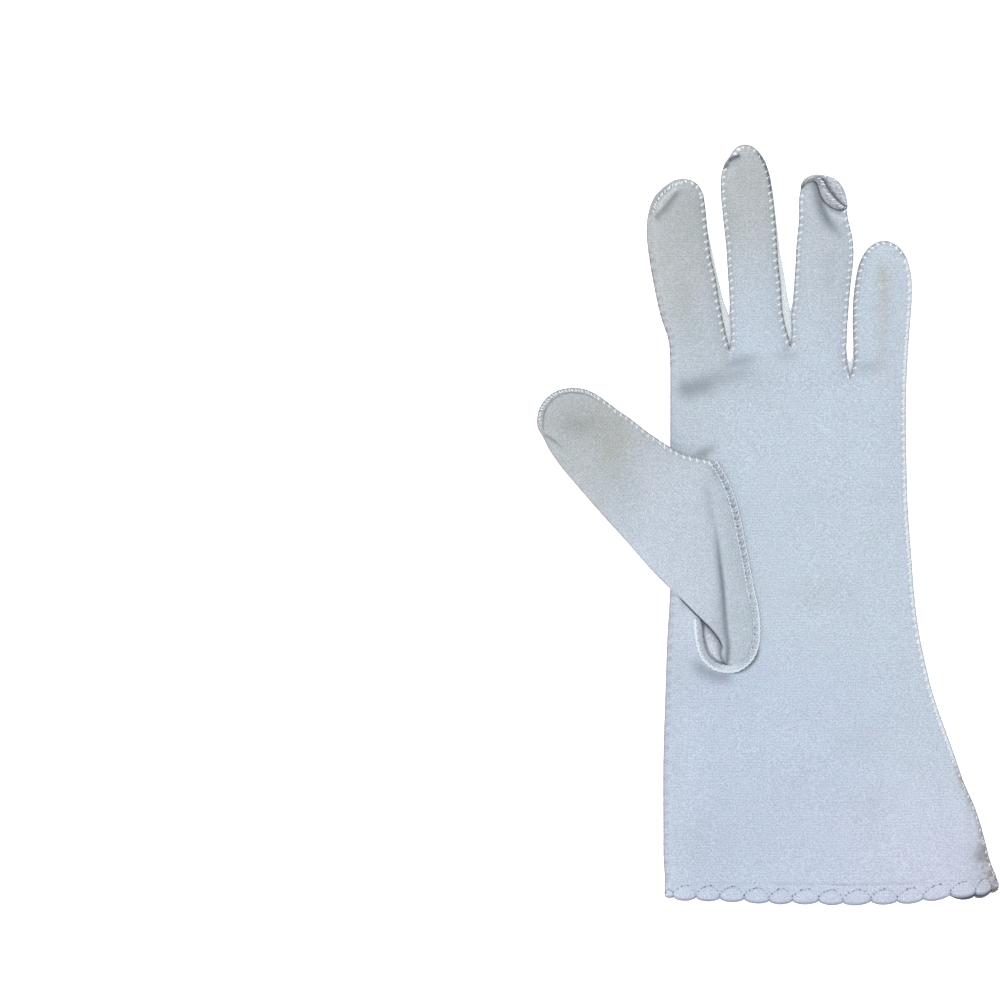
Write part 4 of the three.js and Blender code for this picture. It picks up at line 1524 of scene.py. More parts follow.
@dataclass
class RingTip:
    """The ring finger's tip, which is twisted so that the strip at its side faces up.

    Each line runs along the twist: the crease, the first seam, the groove behind it, the
    second seam and the tip's outline, with its height.
    """

    lines: tuple[tuple[tuple[Point, ...], float], ...] = (
        (((11.2, 112.4), (12, 113.3), (13.4, 113.9), (15, 114), (16, 112.7), (17.2, 109.3),
          (19.5, 106.2), (22.1, 104.8), (24.4, 104.4), (26, 104.9)), 3.2),
        (((11.1, 112.8), (11.8, 114), (13.4, 114.9), (15.8, 115.4), (17, 113.6), (18, 110.2),
          (20.1, 107.3), (22.4, 105.9), (24.5, 105.4), (26.1, 105.5)), 4.6),
        (((11, 113), (11.8, 114.3), (13.4, 115.3), (16.2, 115.9), (17.9, 114.4), (18.9, 111.6),
          (20.5, 109.6), (22.7, 107.3), (24.6, 106), (26.1, 105.7)), 6.6),
        (((11, 113.2), (11.8, 114.5), (13.6, 115.7), (16.7, 116), (18.6, 114.6), (20, 112.2),
          (21.4, 110.3), (23.2, 108.3), (25.1, 106.5), (26.1, 105.9)), 4.2),
        (((11, 113.3), (11.9, 114.7), (14, 115.9), (18, 116), (20.4, 114.7), (21.8, 112.5),
          (22.9, 110.6), (24.2, 108.6), (25.5, 106.8), (26.1, 106.1)), 5.3),
        (((11, 113.4), (11.9, 114.9), (14.2, 116.2), (18.4, 116.2), (21.6, 115.2), (23.2, 112.8),
          (24.4, 110.1), (25, 108.3), (25.7, 106.9), (26.1, 106.2)), 4.7),
        (((11, 113.4), (11.9, 115), (14.2, 116.4), (18.4, 116.4), (22, 115.4), (23.7, 113.2),
          (24.9, 110.6), (25.4, 108.6), (25.9, 107.1), (26.2, 106.2)), 3.4),
        (((11, 113.4), (12.1, 114.9), (14.4, 116.6), (18.4, 116.6), (22.3, 115.3), (24.1, 113.3),
          (25.3, 110.9), (25.8, 108.9), (26.2, 107.1), (26.3, 106.2)), 2.6),
        (((11, 112.2), (12.1, 114.9), (14.4, 116.7), (18.4, 116.7), (22.4, 115.4), (24.4, 113.4),
          (25.6, 110.9), (26.1, 108.9), (26.4, 107.1), (26.2, 105.4)), 1.3),
    )
    steps: int = 48
    across: int = 36
    least: float = 3.2

    def seam(self, number: int) -> np.ndarray:
        """One of the twist's lines, with its height."""
        line, height = self.lines[number]
        path = even_steps(curve_through(np.array(line), 0.3), 1.0, self.steps)
        share = np.linspace(0, 1, self.steps + 1)
        ends = smooth_step(share, 0, 0.22) * smooth_step(1 - share, 0, 0.12)
        start = min(height, self.least)
        return np.column_stack([path, start + (height - start) * ends])

    def surface(self, shape: Shape) -> None:
        """Adds the twisted tip's surface to a shape."""
        stack = np.array([self.seam(number) for number in range(len(self.lines))])
        grid = np.array([even_steps(curve_through(stack[:, i], 0.2), 1.0, self.across)
                         for i in range(self.steps + 1)])
        points = grid.reshape(-1, 3)
        marks = cloth_marks(points[:, :2])
        first, rope, groove, second, outline = (
            beside(points[:, :2], self.seam(number)[:, :2]) for number in (0, 2, 3, 6, 8))
        # A darker outline, a painted highlight along the rolled seam, painted shade over the tip and in its
        # groove, darker in blotches, and painted shadow lines along the crease, the groove and between the
        # second seam's stitches
        marks["rim"] = 0.15 + 0.8 * soft(outline.away, 0.5)
        marks["pale"] = 0.45 * soft(rope.away, 0.75) * smooth_step(rope.share, 0.1, 0.3)
        x, y = points[:, 0], points[:, 1]
        blotch = np.sin(2.9 * x + 1.6 * np.sin(2.1 * y)) * np.sin(3.3 * y + 1.3 * np.sin(2.6 * x))
        marks["worn"] = 0.26 + 0.4 * soft(groove.away, 0.9) * smooth_step(groove.share, 0.15, 0.35)
        marks["worn"] += 0.62 * np.clip(blotch, 0, 1)
        dots = 0.35 + 0.65 * (0.5 + 0.5 * np.cos(2 * np.pi * second.share * 11))
        gap = 0.9 * soft(first.away, 0.5)
        gap = np.maximum(gap, 0.8 * soft(groove.away, 0.32) * smooth_step(groove.share, 0.2, 0.4))
        marks["gap"] = np.maximum(gap, 0.45 * dots * soft(second.away, 0.3) * (second.share > 0.3))
        shape.add(points, grid_faces(*grid.shape[:2], flip=True), **marks)


@dataclass
class Thumb:
    """The thumb: an upper and a lower side, folded along one edge and sewn on the other.

    It rests step high at palm_edge, the palm's folded side, and comes down to the floor
    over slope. Its thickness is the lesser of full_by_x and full_by_y, and edge is how
    high its lower cloth's edge lies above what it rests on.
    """

    hand: Hand
    cloth: bpy.types.Material
    palm_edge: float = -32.5
    step: float = 4.2
    slope: float = 18.0
    edge: float = 0.9
    full_by_x: tuple[Point, ...] = (
        (-78.0, 3.4), (-74.0, 4.8), (-68.0, 5.9), (-60.0, 6.4), (-50.0, 6.8), (0.0, 6.8),
    )
    full_by_y: tuple[Point, ...] = (
        (-48.0, 2.6), (-45.0, 3.6), (-40.0, 4.6), (-33.0, 5.4), (-27.0, 6.2), (-20.0, 6.8),
    )
    upper: Panel = field(init=False)
    lower: Panel = field(init=False)

    def __post_init__(self) -> None:
        """Makes the thumb's two sides over the hand."""
        self.upper = self.upper_side()
        self.lower = self.lower_side()

    def ground(self, points: np.ndarray) -> np.ndarray:
        """The height that the thumb rests at: on the palm, then down to the floor."""
        x = points[:, 0]
        slope = self.step * np.clip(1 + (x - self.palm_edge) / self.slope, 0, 1)
        beside_palm = slope * slope / self.step
        over_palm = self.step + 2.6 * smooth_step(x, self.palm_edge, -22.0) + 0.8 * smooth_step(x, -22, -10)
        return np.where(x > self.palm_edge, over_palm, beside_palm)

    def full(self, points: np.ndarray) -> np.ndarray:
        """The thumb's thickness at each point."""
        by_x = np.interp(points[:, 0], *np.array(self.full_by_x).T)
        by_y = np.interp(points[:, 1], *np.array(self.full_by_y).T)
        return np.minimum(by_x, by_y)

    def upper_side(self) -> Panel:
        """The side that lies up."""
        border = Border([
            (THUMB_TIP, Join.SEAM), (THUMB_SEAM, Join.SEAM), (WELT[:13] + THUMB_FOLD[:1], Join.WELT),
            (THUMB_FOLD, Join.FOLD),
        ])
        panel = Panel(border, 1.4, THUMB_SEAMS, (), THUMB_CREASES)
        lifts = {ThumbRun.TIP: 1.4, ThumbRun.SEAM: 2.1, ThumbRun.WELT: 0.0, ThumbRun.FOLD: 1.9}
        heights = self.ground(border.points) + np.array([lifts[int(number)] for number in border.run_of])
        welt = np.flatnonzero(border.run_of == ThumbRun.WELT)
        heights[welt] = self.hand.front.at(border.points[welt]) + 0.3
        share = smooth_step(lengths_along(border.points[welt]), 0, 9)
        heights[welt] = heights[welt[0] - 1] * (1 - share) + heights[welt] * share
        fold = np.flatnonzero(border.run_of == ThumbRun.FOLD)
        risen = smooth_step(lengths_along(border.points[fold]), 0, 9)
        heights[fold] = heights[welt[-1]] + (heights[fold] - heights[welt[-1]]) * risen
        near, away = panel.from_edge((Join.FOLD, Join.SEAM, Join.WELT))
        top = self.ground(panel.points) + self.full(panel.points)
        low = heights[near]
        by_welt = border.run_of[near] == ThumbRun.WELT
        share = np.clip((away - np.where(by_welt, 1.5, 0.4)) / np.where(by_welt, 13.0, 9.5), 0, 1)
        panel.height = low + (top - low) * (1 - (1 - share) ** 2.8)
        panel.relax(30, panel.hold_edges(heights))
        room = 1 - np.exp(-away / 1.2)
        panel.press(room)
        x, y = panel.points[:, 0], panel.points[:, 1]
        panel.height += 0.09 * np.sin(x / 4.1 + y / 9.0) * np.sin(y / 5.2 - x / 11.0) * room
        by_seam = border.run_of[near] <= ThumbRun.SEAM
        panel.pucker(away + np.where(by_seam, 0, 9), 2.3, 0.2)
        return panel

    def lower_side(self) -> Panel:
        """The side that lies on the palm and the floor."""
        far_side = tuple(reversed(HOLE_FAR_SIDE))[:-1]
        border = Border([
            (THUMB_TIP, Join.SEAM), (THUMB_SEAM, Join.SEAM), (far_side + (FOLD_LEAVES,), Join.OPEN),
            ((FOLD_LEAVES,) + THUMB_FOLD[7:], Join.FOLD),
        ])
        panel = Panel(border, 1.9, THUMB_SEAMS)
        _, away = panel.from_edge((Join.FOLD, Join.SEAM))
        share = np.clip(away / 3.0, 0, 1)
        panel.height = self.ground(panel.points) + BACK_REST + (self.edge - BACK_REST) * (1 - share) ** 2
        return panel

    def pocket(self, shape: Shape) -> None:
        """Adds the lower cloth that shows between the fold and the welt's near side."""
        fold = curve_through(np.array(THUMB_FOLD[:8]), 0.5)
        fold = fold[fold[:, 1] < -28.0]
        rope = curve_through(np.array(WELT[12:]), 0.5)
        count = 40
        fold = even_steps(fold, 1.0, count)
        rope = even_steps(rope, 1.0, count)
        rope_height = self.hand.front.at(rope) + 0.3
        rows = []
        for share in np.linspace(0, 1, 14):
            row = (fold + (1.6, 0.6)) * (1 - share) + rope * share
            low = 6.1 + 0.8 * share
            height = low + (rope_height - low) * share ** 2.2 + 0.5 * math.sin(math.pi * share) ** 2
            rows.append(np.column_stack([row, height]))
        points = np.vstack(rows)
        marks = cloth_marks(points[:, :2], True)
        # The pocket is painted lighter and bluer than the thumb against the shade it lies in, with painted
        # shade along the welt and the fold
        marks["fingers"] = marks["fingers"] * 0.2
        marks["soil"] = np.zeros(len(points))
        marks["cool"] = marks["cool"] + 0.4
        marks["cuff"] = np.full(len(points), 0.5)
        by_rope = beside(points[:, :2], rope).away
        by_fold = beside(points[:, :2], fold).away
        marks["worn"] = 0.9 * soft(by_rope, 0.5, 1.45) + 0.25 * soft(by_fold, 0.9)
        marks["pale"] = 0.7 * smooth_step(by_rope, 1.5, 2.3) * smooth_step(by_fold, 0.3, 1.4)
        shape.add(points, grid_faces(len(rows), count + 1), **marks)

    def build(self) -> bpy.types.Object:
        """The thumb as one piece."""
        shape = Shape()
        starts = []
        for panel, flip in ((self.upper, False), (self.lower, True)):
            marks = cloth_marks(panel.points, True) | panel.edge_marks()
            over_palm = smooth_step(panel.points[:, 0], -31.0, -28.0)
            _, fold_away = panel.from_edge((Join.FOLD,))
            # Painted shadow under the fold's edge where it lies over the palm, weaker towards the welt's foot
            line = (1 - smooth_step(fold_away, 0.25, 0.66)) * over_palm
            line = line * (0.25 + 0.75 * smooth_step(panel.points[:, 1], -43.5, -38.5))
            marks["gap"] = np.maximum(marks["gap"], line)
            marks["fold"] = marks["fold"] * (1 - over_palm)
            starts.append(shape.add_panel(panel, flip, marks))
        self.pocket(shape)
        upper_run = self.upper.border.run_indices(ThumbRun.FOLD)
        leaves = np.hypot(*(self.upper.border.points[upper_run] - FOLD_LEAVES).T)
        upper_run = upper_run[int(np.argmin(leaves)):]
        lower_run = self.lower.border.run_indices(ThumbRun.FOLD)
        above = self.upper.border.points[upper_run]
        found, _ = nearest(tree_of(self.lower.border.points[lower_run]), above)
        upper_edge = self.upper.rim_index[upper_run] + starts[0]
        lower_edge = self.lower.rim_index[lower_run][found] + starts[1]
        wall(shape, upper_edge, lower_edge)
        return shape.piece("thumb_cloth", self.cloth, "thumb_cloth", CLOTH, ("thumb",))


@dataclass(frozen=True)
class StitchRow:
    """A row of whip stitches along a run of an outline.

    reach is how far in from the edge each begins, slant how far it moves along the seam
    as it crosses the edge, and below how far it goes down past the edge. share is the
    part of the run that is sewn, and uneven the share of the pitch by which they stray.
    """

    run: int
    pitch: float = STITCH_PITCH
    reach: float = 1.35
    slant: float = 0.9
    below: float = 0.8
    radius: float = 0.26
    share: tuple[float, float] = (0.0, 1.0)
    uneven: float = 0.05


HAND_ROWS = (
    StitchRow(Run.INDEX_TIP, share=(0.45, 1.0)),
    StitchRow(Run.INDEX_INNER),
    StitchRow(Run.MIDDLE_LEFT),
    StitchRow(Run.RING_LEFT),
    StitchRow(Run.RING_RIGHT),
    StitchRow(Run.LITTLE_LEFT),
    StitchRow(Run.LITTLE_TIP),
    StitchRow(Run.MIDDLE_TIP, 2.2, 1.7, 1.0, 0.8, 0.34, (0.19, 0.37)),
    StitchRow(Run.MIDDLE_TIP, 2.5, 1.5, 0.8, 0.8, 0.14, (0.42, 1.0)),
    StitchRow(Run.MIDDLE_RIGHT, 2.5, 1.35, 0.8, 0.8, 0.12, (0.0, 0.15)),
    StitchRow(Run.MIDDLE_RIGHT, share=(0.16, 1.0)),
    StitchRow(Run.OUTER_SEAM, 2.6, 1.75, 1.2, 0.9, 0.22, (0.0, 0.81)),
    StitchRow(Run.OUTER_SEAM, 1.5, 1.0, 0.9, 0.7, 0.1, (0.815, 1.0), 0.45),
)
BACK_ROWS = tuple(StitchRow(run, 2.5, 0.9, 0.8, 0.4, 0.22) for run in Run if HAND_JOINS[run] is Join.STRIP)
THUMB_ROWS = (
    StitchRow(ThumbRun.TIP, 1.15, 1.2, 0.7, 1.0, 0.14, uneven=0.12),
    StitchRow(ThumbRun.SEAM, 2.3, 1.3, 1.0, 1.0, 0.16, (0.0, 0.6)),
    StitchRow(ThumbRun.SEAM, 2.3, 1.4, 1.1, 1.0, 0.25, (0.61, 1.0)),
)


@dataclass
class Stitching:
    """Whip stitches: short threads that go slantwise over a seam's edge.

    over_swell and across_swell are the thickness along a stitch over an edge and along
    one across a seam, in shares of the thread's radius.
    """

    thread: bpy.types.Material
    over_swell: tuple[float, ...] = (1.0, 1.6, 1.75, 1.45, 0.95, 0.65, 0.5, 0.45, 0.4, 0.35)
    across_swell: tuple[float, ...] = (0.5, 0.9, 1.2, 1.3, 1.3, 1.2, 1.0, 0.8, 0.5)
    sides: int = 6
    flat: float = 0.85
    shape: Shape = field(default_factory=Shape)
    made: int = 0

    def over_edge(self, panel: Panel, row: StitchRow) -> None:
        """Sews a row of stitches along a panel's border."""
        own = panel.border.run_indices(row.run)
        line = panel.border.points[own]
        inward = panel.border.inward()[own]
        length = lengths_along(line)
        first, last = (share * length[-1] for share in row.share)
        places = np.arange(FIRST_STITCH + first, last - 0.4, row.pitch)
        jitter = row.uneven * np.sin(np.arange(len(places)) * 2.39) * row.pitch

        def spot(where: float, depth: float) -> np.ndarray:
            """A point beside the seam."""
            where = min(max(where, 0.0), length[-1])
            return on_line(where, length, line) + on_line(where, length, inward) * depth

        for at in places + jitter:
            lean = row.slant * (1 + 0.25 * math.sin(self.made * 1.7))
            entry = spot(at + lean / 2, row.reach)
            middle = spot(at, row.reach * 0.45)
            edge = spot(at - lean / 2, 0.05)
            edge_height = float(np.interp(at, length, panel.edge_heights[own]))
            tops = panel.at(np.array([entry, middle]))
            rise = CLOTH * 0.5 + row.radius * 0.55
            path = np.array([
                (*entry, tops[0] - 0.05),
                (*(entry * 0.72 + middle * 0.28), tops[0] * 0.72 + tops[1] * 0.28 + rise),
                (*middle, tops[1] + rise),
                (*(edge * 0.7 + middle * 0.3), edge_height + CLOTH * 0.5 + row.radius * 0.3),
                (*spot(at - lean / 2, -0.16), edge_height - 0.05),
                (*spot(at - lean * 0.7, 0.1), edge_height - row.below),
            ])
            fine = even_steps(curve_through(path, 0.3), 1.0, len(self.over_swell) - 1)
            self.shape.tube(fine, row.radius * np.array(self.over_swell), self.sides, self.flat)
            self.made += 1

    def across(self, line: np.ndarray, pitch: float, reach: float, slant: float, radius: float) -> None:
        """Sews over a seam that lies on the cloth.

        Args:
            line: the seam's points, in three dimensions.
            pitch: the distance between stitches.
            reach: how far each goes to either side.
            slant: how far it moves along the seam.
            radius: the thread's radius.
        """
        length = lengths_along(line)
        way = unit(np.gradient(line[:, :2], axis=0))
        for at in np.arange(pitch / 2, length[-1] - pitch / 3, pitch):
            at += 0.22 * pitch * math.sin(self.made * 1.9)
            base = on_line(at, length, line)
            along = on_line(at, length, way)
            left = np.array([-along[1], along[0]])
            path = np.array([
                (*(base[:2] + left * reach * side + along * slant * side / 2), base[2] + lift)
                for side, lift in ((-1.0, -0.35), (-0.6, 0.25), (0.0, 0.5), (0.6, 0.25), (1.0, -0.35))])
            fine = even_steps(curve_through(path, 0.3), 1.0, len(self.across_swell) - 1)
            swell = np.array(self.across_swell) * (1 + 0.35 * math.sin(self.made * 2.7))
            self.shape.tube(fine, radius * swell, self.sides, self.flat)
            self.made += 1

    def build(self, name: str) -> bpy.types.Object:
        """The stitches as one piece."""
        return self.shape.piece(name, self.thread)


@dataclass
class Welt:
    """The rope-like seam round the thumb's hole.

    radius is that of its rolled cloth, which swells once in each twist. pitch is the
    distance between the stitches over it, inner_pitch that along its inner thread and
    hole_pitch that between its needle holes.
    """

    hand: Hand
    cloth: bpy.types.Material
    thread: bpy.types.Material
    hole: bpy.types.Material
    radius: float = 1.2
    twist: float = 2.15
    pitch: float = 1.45
    inner_pitch: float = 1.2
    hole_pitch: float = 1.3
    line: np.ndarray = field(init=False)
    run: np.ndarray = field(init=False)
    inner: np.ndarray = field(init=False)

    def __post_init__(self) -> None:
        """Lays the welt's middle line on the palm."""
        line = curve_through(np.array(WELT), 0.35)
        self.run = lengths_along(line)
        height = self.hand.front.at(line) + 0.75 + 1.4 * (1 - smooth_step(self.run, 0, 8))
        self.line = np.column_stack([line, height])
        way = unit(np.gradient(line, axis=0))
        self.inner = np.column_stack([way[:, 1], -way[:, 0]])

    def point(self, run: float, inner: float, up: float) -> np.ndarray:
        """A point beside the welt's middle line.

        Args:
            run: how far along it lies.
            inner: how far towards the thumb.
            up: how far above.

        Returns:
            The point.
        """
        run = min(max(run, 0.0), self.run[-1])
        way = on_line(run, self.run, self.inner)
        return on_line(run, self.run, self.line) + (way[0] * inner, way[1] * inner, up)

    def zigzag(self, places: np.ndarray, pitch: float, shift: float, stray: np.ndarray) -> np.ndarray:
        """How far from 0 to 1 a thread has swung at each place along the welt."""
        return np.abs((places / pitch + shift + stray) % 1 * 2 - 1)

    def build(self) -> list[bpy.types.Object]:
        """The welt's rolled cloth, its threads and its needle holes."""
        return [self.roll(), self.threads(), self.needle_holes()]

    def roll(self) -> bpy.types.Object:
        """The rolled cloth."""
        core = Shape()
        bulge = 1.0 + 0.07 * np.sin(2 * np.pi * self.run / self.twist)
        ends = 0.35 + 0.65 * smooth_step(self.run, 0, 3) * smooth_step(self.run[-1] - self.run, 0, 3)
        core.tube(self.line, self.radius * bulge * ends, 14, 0.62)
        points = np.vstack(core.points)
        marks = cloth_marks(points[:, :2])
        upper_half = 1 - smooth_step(beside(points[:, :2], self.line[:, :2]).share, 0.3, 0.5)
        # Painted shade over the roll, more on its upper part, and a painted highlight at its foot
        at_foot = soft(points[:, 0], 3.8, -13.0) * smooth_step(-points[:, 1], 44.0, 46.0)
        marks["worn"] = (0.24 + 0.22 * upper_half) * (1 - at_foot)
        marks["pale"] = 0.5 * at_foot
        core.marks = {name: [values] for name, values in marks.items()}
        return core.piece("thumb_hole_welt", self.cloth, "palm_cloth")

    def threads(self) -> bpy.types.Object:
        """The cords along both sides of the roll and the stitches over it."""
        threads = Shape()
        whole = self.run[-1]
        places = np.arange(0.4, whole - 0.3, 0.24)
        jag = self.zigzag(places, self.pitch, 0.0, 0.12 * np.sin(places * 0.9))
        foot = smooth_step(places / whole, 0.3, 0.6)
        heel = smooth_step(places / whole, 0.62, 0.78)
        outer = [self.point(at, -1.05 + 0.45 * (j - 0.5), 0.2 + 0.12 * j) for at, j in zip(places, jag)]
        threads.tube(np.array(outer), 0.15 + 0.16 * foot + 0.15 * jag + 0.08 * heel, 8, 0.9)
        places = places[places < 0.5 * whole]
        jag = self.zigzag(places, self.inner_pitch, 0.4, 0.1 * np.sin(places * 1.3))
        inner = [self.point(at, 1.05 + 0.25 * (j - 0.5), 0.42 + 0.12 * j) for at, j in zip(places, jag)]
        threads.tube(np.array(inner), 0.12 + 0.14 * jag, 6)
        for number in range(int(whole / self.pitch)):
            at = 0.7 + number * self.pitch + 0.3 * math.sin(number * 1.9)
            lean = 0.7 + 0.25 * math.sin(number * 2.1)
            share = float(smooth_step(at / whole, 0.6, 0.75))
            path = np.array([
                self.point(at - lean * 0.5, -1.15, 0.1),
                self.point(at - lean * 0.2, -0.75, 0.5),
                self.point(at + lean * 0.2, -0.35, 0.66),
                self.point(at + lean * 0.5, 0.1 - 0.4 * share, 0.6),
            ])
            fine = even_steps(curve_through(path, 0.3), 1.0, 6)
            threads.tube(fine, 0.19 + 0.05 * math.sin(number * 2.9), 6)
            if share < 0.5:
                low = np.array([self.point(at + k * 0.36, 0.76 - 0.16 * k, 0.6) for k in (-1, 0, 1)])
                threads.tube(low, np.array([0.1, 0.2, 0.1]) * (1.2 + 0.4 * math.sin(number * 1.7)), 6)
        return threads.piece("welt_threads", self.thread)

    def needle_holes(self) -> bpy.types.Object:
        """The needle holes, two by two, down the upper two thirds of the roll."""
        holes = Shape()
        whole = self.run[-1]
        for number in range(1, int(0.66 * whole / self.hole_pitch)):
            at = 1.2 + number * self.hole_pitch + 0.4 * math.sin(number * 2.4)
            lower_half = float(smooth_step(at / whole, 0.3, 0.5))
            size = (1.0 + 0.35 * math.sin(number * 3.1)) * (1 - 0.35 * lower_half)
            long = 0.42 * (1 + 0.9 * lower_half)
            for offset, up, wide in ((0.42, 0.58, 0.3), (-0.12, 0.62, 0.2)):
                mid = at + (0.6 if offset < 0 else 0.0)
                spread = offset + 0.12 * math.sin(number * 1.3 + offset)
                dash = np.array([self.point(mid + k * long * size, spread + 0.1 * k, up) for k in (-1, 0, 1)])
                # Dark dashes as painted shadow inside the needle holes
                holes.tube(dash, np.array([0.5, 1.0, 0.5]) * wide * size, 8, 0.5)
        return holes.piece("welt_needle_hole_shadows", self.hole)


@dataclass
class ShellEdge:
    """The shell edge that closes the cloth round the opening for the wrist.

    Each shell has a number of steps across it and of points down it. An end shell has
    only the share end_size of the others' size, and the edge is sewn up to sewn_up.
    """

    hand: Hand
    cloth: bpy.types.Material
    hole: bpy.types.Material
    steps: int = 18
    down: int = 18
    shells: int = len(SHELL_NOTCHES) - 1
    end_size: float = 0.45
    sewn_up: float = -118.0
    holes_each: int = 10

    def size(self, number: int) -> float:
        """The size of a shell, as a share of the middle ones' size."""
        return self.end_size if number in (0, self.shells - 1) else 1.0

    def ring(self) -> np.ndarray:
        """Points along the notches, with even steps from each to the next."""
        notches = np.array(SHELL_NOTCHES)
        rows = []
        for start, end in zip(notches, notches[1:]):
            rows += [start + (end - start) * i / self.steps for i in range(self.steps)]
        return np.array(rows + [notches[-1]])

    def build(self) -> list[bpy.types.Object]:
        """The shells of both sides and the needle holes above them."""
        shape = Shape()
        holes = Shape()
        line = self.ring()
        starts = []
        for upper in (True, False):
            rows = []
            for i, (x, y) in enumerate(line):
                number = min(i // self.steps, self.shells - 1)
                share = (i - number * self.steps) / self.steps
                small = self.size(number)
                leaf = math.sin(math.pi * share ** 0.92) ** 0.62 if 0 < share < 1 else 0.0
                behind = 0.0 if upper else 1.5 * float(smooth_step(x, 56.0, 68.0))
                bottom = y - 1.25 * leaf * small - behind
                arc = y + 0.7 + 3.0 * small * self.arc(share)
                head = y + 5.4
                for part in np.linspace(0, 1, self.down):
                    yy = head + (bottom - head) * part
                    inner = np.clip((arc - yy) / max(arc - bottom, 0.3), 0, 1)
                    puff = 0.65 * small * math.sin(math.pi * inner ** 0.8) ** 0.7 * leaf
                    puff -= 0.25 * math.exp(-(((yy - arc) / 0.45) ** 2)) * leaf
                    puff -= 0.35 * (1 - leaf) * float(smooth_step(-yy, -(y + 1.5), -(y - 0.2)))
                    puff += 0.12 - 0.5 * float(smooth_step(yy, arc + 0.2, head)) - 0.55 * part ** 6
                    lift = puff if upper else 0.3 * part ** 6
                    reach_x = float(np.interp(yy, EDGE_BY_Y[:, 1], EDGE_BY_Y[:, 0])) - 0.2
                    xx = min(x, reach_x) if yy > y + 0.6 else x
                    near_notch = min(share, 1 - share) * 8.0
                    # Painted shade in the notches between shells
                    notch = math.exp(-((near_notch / 0.45) ** 2)) * float(smooth_step(y + 1.2 - yy, 0, 1))
                    edge = float(smooth_step(part, 0.83, 0.97))
                    # Painted highlight on each shell's puff
                    light = 0.1 * leaf * math.sin(math.pi * inner ** 0.7) if inner > 0 else 0.0
                    rows.append((xx, yy, lift, 0.8 * notch, edge, light))
            flat = np.array(rows)[:, :2]
            lifts, notch_shade, edges, lights = np.array(rows).T[2:]
            base = np.full(len(flat), BACK_REST)
            if upper:
                sewn = np.column_stack([flat[:, 0], np.maximum(flat[:, 1], self.sewn_up)])
                base = self.hand.front.at(sewn)
            points = np.column_stack([flat, base + lifts])
            faces = grid_faces(len(line), self.down, flip=True)
            if not upper:
                faces = [face[::-1] for face in faces]
            marks = cloth_marks(flat)
            marks["cuff"] = np.maximum(marks["cuff"], 0.85 * smooth_step(-flat[:, 1], 119.5, 123.5))
            marks["rim"] = edges * (1 - 0.8 * np.clip(marks["dust"], 0, 1))
            marks["pale"] = lights
            # The lower layer is painted dark where it shows under the upper shells: painted shade, with a
            # painted shadow and brown grime at its right end
            marks["worn"] = notch_shade if upper else 0.3 * smooth_step(-flat[:, 0], -66.0, -56.0)
            if not upper:
                marks["dust"] = np.maximum(marks["dust"], 1.3 * smooth_step(flat[:, 0], 56.0, 66.0))
                marks["gap"] = 0.3 * smooth_step(flat[:, 0], 58.0, 66.0)
            starts.append(shape.add(points, faces, **marks))
        for column in (0, (len(line) - 1) * self.down):
            above, below = (start + column for start in starts)
            shape.join([(above + j, above + j + 1, below + j + 1, below + j) for j in range(self.down - 1)])
        for number in range(self.shells):
            small = self.size(number)
            for k in range(self.holes_each):
                share = 0.05 + 0.095 * k
                i = number * self.steps + int(share * self.steps)
                x, y = line[i]
                if small < 1 and k % 2:
                    continue
                arc = y + 0.7 + 3.0 * small * self.arc(share)
                z = float(self.hand.front.at(np.array([[x, max(arc, self.sewn_up)]]))[0]) + CLOTH * 0.5
                wide = 0.31 + 0.09 * math.sin(number * 2.1 + k * 2.7)
                arc += 0.16 * math.sin(number * 1.3 + k * 1.9)
                # Dark pegs as painted shadow inside the needle holes
                holes.tube(np.array([(x, arc, z - 0.4), (x, arc, z + 0.06), (x, arc, z + 0.1)]), wide, 8)
        made = shape.piece("shell_edge", self.cloth, "hem_cloth", 0.55, ("scalloped_hem",))
        log.info("%s: area %.6f", made.name, shape.area())
        return [made, holes.piece("hem_needle_hole_shadows", self.hole)]

    @staticmethod
    def arc(share: float) -> float:
        """How high the needle holes rise at a share of a shell's width."""
        rise = share / 0.6 if share < 0.6 else (1 - share) / 0.4
        return math.sin(math.pi / 2 * max(rise, 0.0)) ** 0.8


